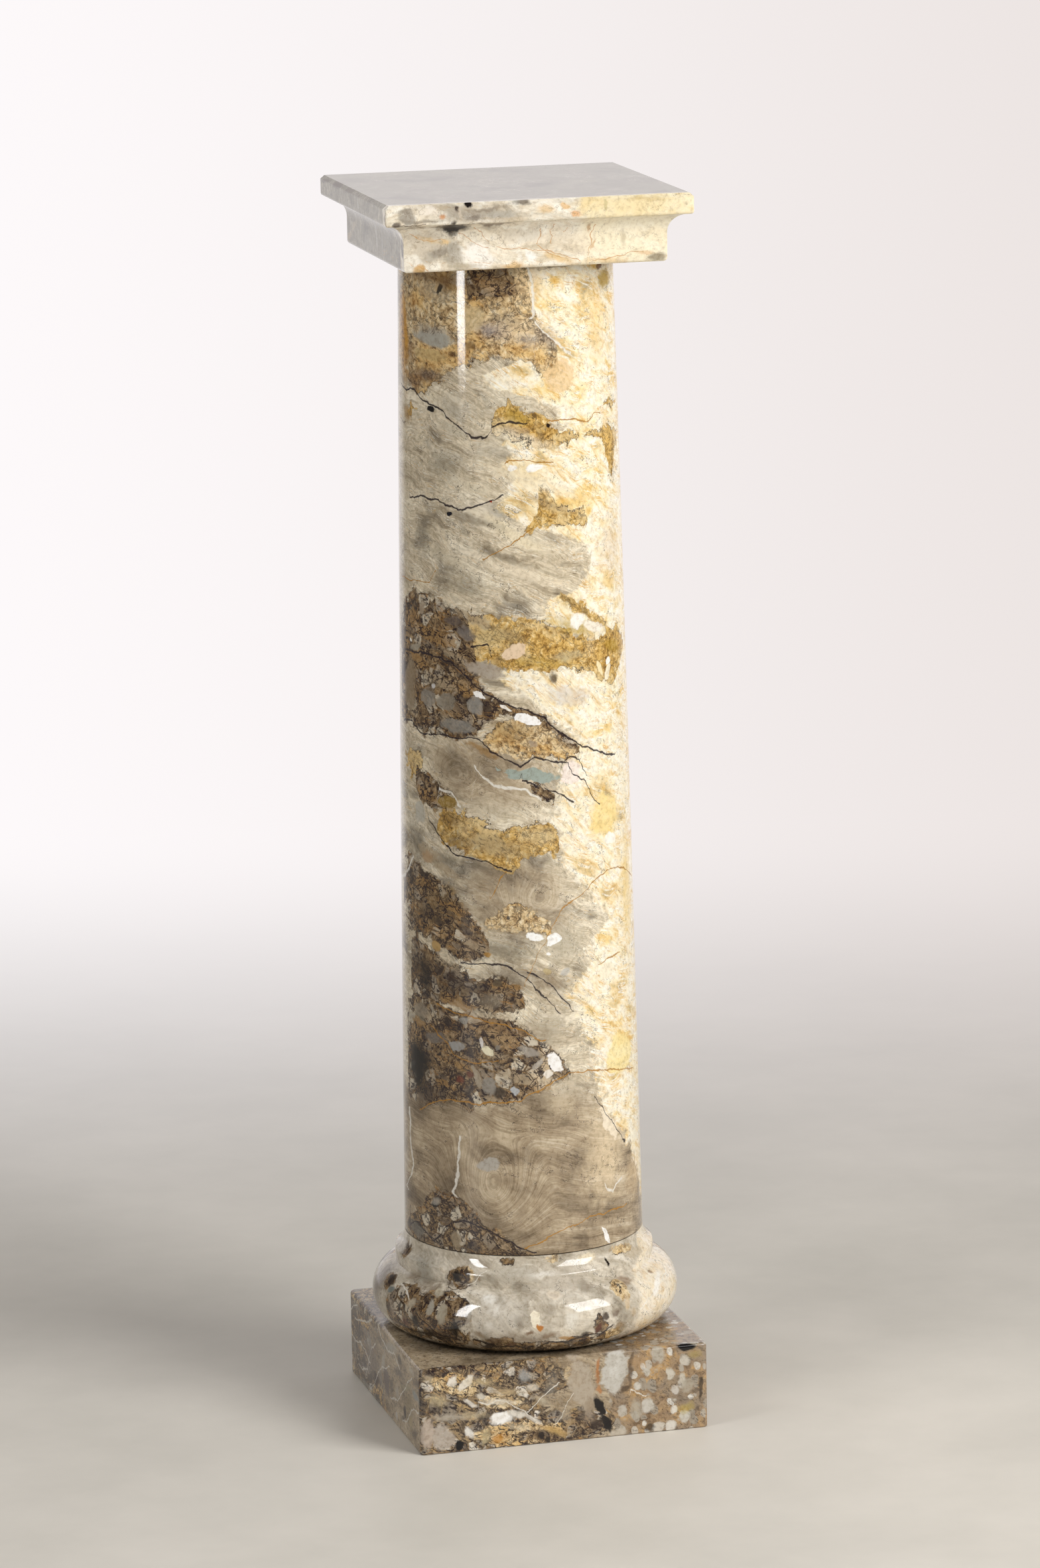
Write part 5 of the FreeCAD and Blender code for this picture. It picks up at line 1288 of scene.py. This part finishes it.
def make_shaft():
    """The shaft, with a slight swelling and a socket in each end."""
    foot, head = heights("shaft")
    wide = width("shaft") / 2
    foot_socket, head_socket = width("shaft_dowel_grout") / 2, width("capital_pin_grout") / 2
    section = [(foot_socket, heights("shaft_dowel_grout")[1]), (foot_socket, foot), (wide * 0.6, foot)]
    section += arc((wide - SHAFT_ARRIS, foot + SHAFT_ARRIS), SHAFT_ARRIS, -90, 0, 5)
    for i in range(1, SHAFT_STEPS):
        share = i / SHAFT_STEPS
        radius = wide + (SHAFT_HEAD_RADIUS - wide) * share + 4 * ENTASIS * share * (1 - share)
        section.append((radius, foot + (head - foot) * share))
    section += arc((SHAFT_HEAD_RADIUS - SHAFT_ARRIS, head - SHAFT_ARRIS), SHAFT_ARRIS, 0, 90, 5)
    section += [(SHAFT_HEAD_RADIUS * 0.6, head), (head_socket, head)]
    section += [(head_socket, heights("capital_pin_grout")[0])]
    return lofted("shaft_stone", rings_of_revolution(section), False)


# ---- square stones

PLINTH_CORNER = 0.004
PLINTH_ARRIS = 0.003
PLINTH_FOOT_ARRIS = 0.0012
PLINTH_STEPS = 12
SHARPEST_CORNER = 0.0003


def make_square(name, section, corner, socket, socket_end, mouth_up):
    """A square stone from (half side, height) points, with a round socket in its top or its underside."""
    widest = max(half for half, up in section)
    rings = []
    for half, up in section:
        outline = square_outline(half, max(corner - (widest - half), SHARPEST_CORNER))
        rings.append([(p.x, p.y, up) for p in outline])
    like = [Vector(p[:2]) for p in rings[0]]
    mouth = rings[-1][0][2] if mouth_up else rings[0][0][2]
    hole = [[(p.x, p.y, up) for p in round_outline(socket, like)] for up in (mouth, socket_end)]
    rings = [*rings, *hole] if mouth_up else [*reversed(hole), *rings]
    return lofted(name, rings, False)


def make_plinth():
    """The plinth, its upper edge eased more than its foot."""
    foot, top = heights("plinth")
    half = width("plinth") / 2
    ease, lower = PLINTH_ARRIS, PLINTH_FOOT_ARRIS
    section = [(half * 0.5, foot), (half - 0.006, foot), (half - lower - 0.0004, foot)]
    section += arc((half - lower, foot + lower), lower, -90, 0, 3)
    section += [(half, foot + lower + HOLD)]
    section += [(half, foot + (top - foot) * share / PLINTH_STEPS) for share in range(1, PLINTH_STEPS)]
    section += [(half, top - ease - HOLD)]
    section += arc((half - ease, top - ease), ease, 0, 90, 6)
    section += [(half - ease - HOLD, top), (half - 0.008, top), (half * 0.5, top)]
    return make_square("plinth_stone", section, PLINTH_CORNER, width("plinth_dowel_grout") / 2,
                       heights("plinth_dowel_grout")[0], True)


SLAB_SIDE = 0.266
SLAB_THICKNESS = 0.018
SLAB_CORNER = 0.0015
SLAB_ARRIS = 0.0032
SOFFIT_ROUND = 0.0025
CAVETTO_RADIUS = 0.0165
NECK_ARRIS = 0.0035
# Degrees that the capital stands turned in the photograph.
CAPITAL_TURN = -1.4


def make_capital():
    """The capital: a neck, a hollow and a slab, turned a little from the plinth."""
    foot, top = heights("capital")
    half = SLAB_SIDE / 2
    soffit = top - SLAB_THICKNESS
    neck = half - SOFFIT_ROUND - CAVETTO_RADIUS
    section = [(neck * 0.5, foot), (neck - NECK_ARRIS - HOLD, foot)]
    section += arc((neck - NECK_ARRIS, foot + NECK_ARRIS), NECK_ARRIS, -90, 0, 6)
    section += [(neck, foot + NECK_ARRIS + HOLD), (neck, (foot + soffit) / 2 - 0.003)]
    section += arc((neck + CAVETTO_RADIUS, soffit - CAVETTO_RADIUS), -CAVETTO_RADIUS, 0, -90, 10)
    section += arc((half - SOFFIT_ROUND, soffit + SOFFIT_ROUND), SOFFIT_ROUND, -90, 0, 5)
    section += [(half, soffit + SOFFIT_ROUND + HOLD), (half, top - SLAB_ARRIS - HOLD)]
    section += [(half, top - SLAB_ARRIS), (half - SLAB_ARRIS, top)]
    section += [(half - SLAB_ARRIS - HOLD, top), (half - 0.008, top), (half * 0.5, top)]
    piece = make_square("capital_stone", section, SLAB_CORNER, width("capital_bush") / 2,
                        heights("capital_bush")[1], False)
    piece.data.transform(Matrix.Rotation(math.radians(CAPITAL_TURN), 4, "Z"))
    return piece


# For each stone: its body, its material's slot, the marble and the shape.
STONES = {
    "plinth": ("column", "plinth_marble", plinth_marble, make_plinth),
    "base_moulding": ("column", "base_marble", base_marble, make_base),
    "shaft": ("column", "shaft_marble", shaft_marble, make_shaft),
    "capital": ("capital", "capital_marble", capital_marble, make_capital),
}
for node, (body, slot, marble, make) in STONES.items():
    piece = make()
    piece.data.materials.append(marble())
    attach(piece, body)
    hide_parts(node)

inner = {
    "iron": iron_finish(),
    "grout": cast_finish("grout", (176, 170, 158), (206, 201, 190), 0.006),
    "joint_bed": cast_finish("joint_bed", (38, 33, 29), (64, 56, 48), 0.003),
    "brass": brass_finish(),
}
INNER_SLOTS = {
    "base_dowel": "iron", "capital_pin": "iron", "plinth_dowel_grout": "grout", "shaft_dowel_grout": "grout",
    "capital_pin_grout": "grout", "plinth_joint_bed": "joint_bed", "shaft_joint_bed": "joint_bed",
    "swivel_washer": "brass", "capital_bush": "brass",
}
for name, slot in INNER_SLOTS.items():
    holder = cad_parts[name]
    holder.data.materials.clear()
    holder.data.materials.append(inner[slot])

# ---------------------------------------------------------------- studio

FLOOR_REACH = 30.0
FLOOR_SIDES = 64
FLOOR_DROP = 0.0002
AMBIENT = 0.31
ROOM_GLEAM = 0.12
# What a polished face mirrors is white from the first of these shares of the way back to the second.
BEHIND = (0.7, 0.88)
LAMP_AIM = Vector((0.0, 0.0, 0.6))
# For each lamp: degrees round from the camera, distance, height, size, power, and the rays that miss it.
LAMPS = {
    "key": (54.0, 2.6, 1.9, (1.5, 1.6), 72.0, None),
    "fill": (-52.0, 1.8, 1.7, (0.6, 0.8), 10.0, "visible_glossy"),
    "strip": (-48.0, 3.0, 1.76, (0.5, 2.5), 70.0, "visible_diffuse"),
}


def make_floor():
    """A pale floor that turns to a white backdrop away from the stand and behind it, with painted shade that
    greys it towards the right.
    """
    finish = Finish("studio floor")
    place = finish.node("TexCoord", {}, [], "Object")
    turned = finish.node("Mapping", {"vector_type": "POINT"},
                         {"Vector": place, "Rotation": (0.0, 0.0, PHOTO_SIDE)})
    mottle = finish.clouds(turned, 0.25, 5.0, 0.6)
    colour = finish.ramp(mottle, (0.3, 218, 212, 200), (0.7, 234, 227, 215))
    lit = finish.node("BsdfPrincipled", {}, {"Base Color": colour, "Roughness": 0.55})
    span = finish.node("VectorMath", {"operation": "LENGTH"}, [place], "Value")
    across, along = finish.parts(turned, "XY")
    far = finish.fade(span, 0.6, 3.0).greater(finish.fade(along, 0.3, 2.4))
    # Painted shade on the backdrop: its glow greys towards the right.
    side = finish.fade(across / (along.greater(-4.0) + 5.2), -0.12, 0.16)
    shaded_glow_colour = finish.mix(side, tone(254, 250, 251), tone(233, 225, 222))
    glow = finish.node("Emission", {}, [shaded_glow_colour, 1.0])
    rays = [finish.node("LightPath", {}, [], out) for out in ("Is Camera Ray", "Is Glossy Ray")]
    behind = finish.fade(along / span, *BEHIND)
    share = far * rays[0].greater(rays[1] * behind)
    mixed = finish.node("MixShader", {}, [share, lit, glow])
    finish.node("OutputMaterial", {}, [mixed])
    angles = [2 * math.pi * i / FLOOR_SIDES for i in range(FLOOR_SIDES)]
    ring = [(FLOOR_REACH * math.cos(a), FLOOR_REACH * math.sin(a), -FLOOR_DROP) for a in angles]
    mesh = bpy.data.meshes.new("floor")
    mesh.from_pydata(ring, [], [tuple(range(FLOOR_SIDES))])
    floor = bpy.data.objects.new("floor", mesh)
    bpy.context.scene.collection.objects.link(floor)
    mesh.materials.append(finish.material)


def make_lamp(name, side, distance, height, size, power, missed_by):
    """A rectangular soft lamp, turned to the column."""
    data = bpy.data.lights.new(name, "AREA")
    data.shape = "RECTANGLE"
    data.size, data.size_y = size
    data.energy = power
    lamp = bpy.data.objects.new(name, data)
    bpy.context.scene.collection.objects.link(lamp)
    angle = math.radians(side) - PHOTO_SIDE
    lamp.location = (distance * math.sin(angle), -distance * math.cos(angle), height)
    lamp.rotation_euler = (LAMP_AIM - lamp.location).to_track_quat("-Z", "Y").to_euler()
    lamp.visible_camera = False
    if missed_by:
        setattr(lamp, missed_by, False)


def make_world():
    """White all round to look at. The polish mirrors white behind the stand and a dim room in front of it."""
    world = bpy.data.worlds.new("studio")
    bpy.context.scene.world = world
    world.use_nodes = True
    room = Finish("studio", world.node_tree)
    around = room.node("TexCoord", {}, [], "Generated")
    facing = room.node("Mapping", {"vector_type": "POINT"},
                       {"Vector": around, "Rotation": (0.0, 0.0, PHOTO_SIDE)})
    behind = room.fade(*room.parts(facing, "Y"), *BEHIND)
    camera, glossy = [room.node("LightPath", {}, [], out) for out in ("Is Camera Ray", "Is Glossy Ray")]
    ambient = room.node("Background", {}, [tone(246, 245, 246), AMBIENT])
    dim = room.node("Background", {}, [tone(250, 244, 244), ROOM_GLEAM])
    white = room.node("Background", {}, [tone(250, 244, 244), 1.0])
    mirrored = room.node("MixShader", {}, [behind, dim, white])
    unseen = room.node("MixShader", {}, [glossy, ambient, mirrored])
    room.node("OutputWorld", {}, [room.node("MixShader", {}, [camera, unseen, white])])


make_floor()
for name, lamp in LAMPS.items():
    make_lamp(name, *lamp)
make_world()
bpy.context.scene.view_settings.view_transform = "Standard"
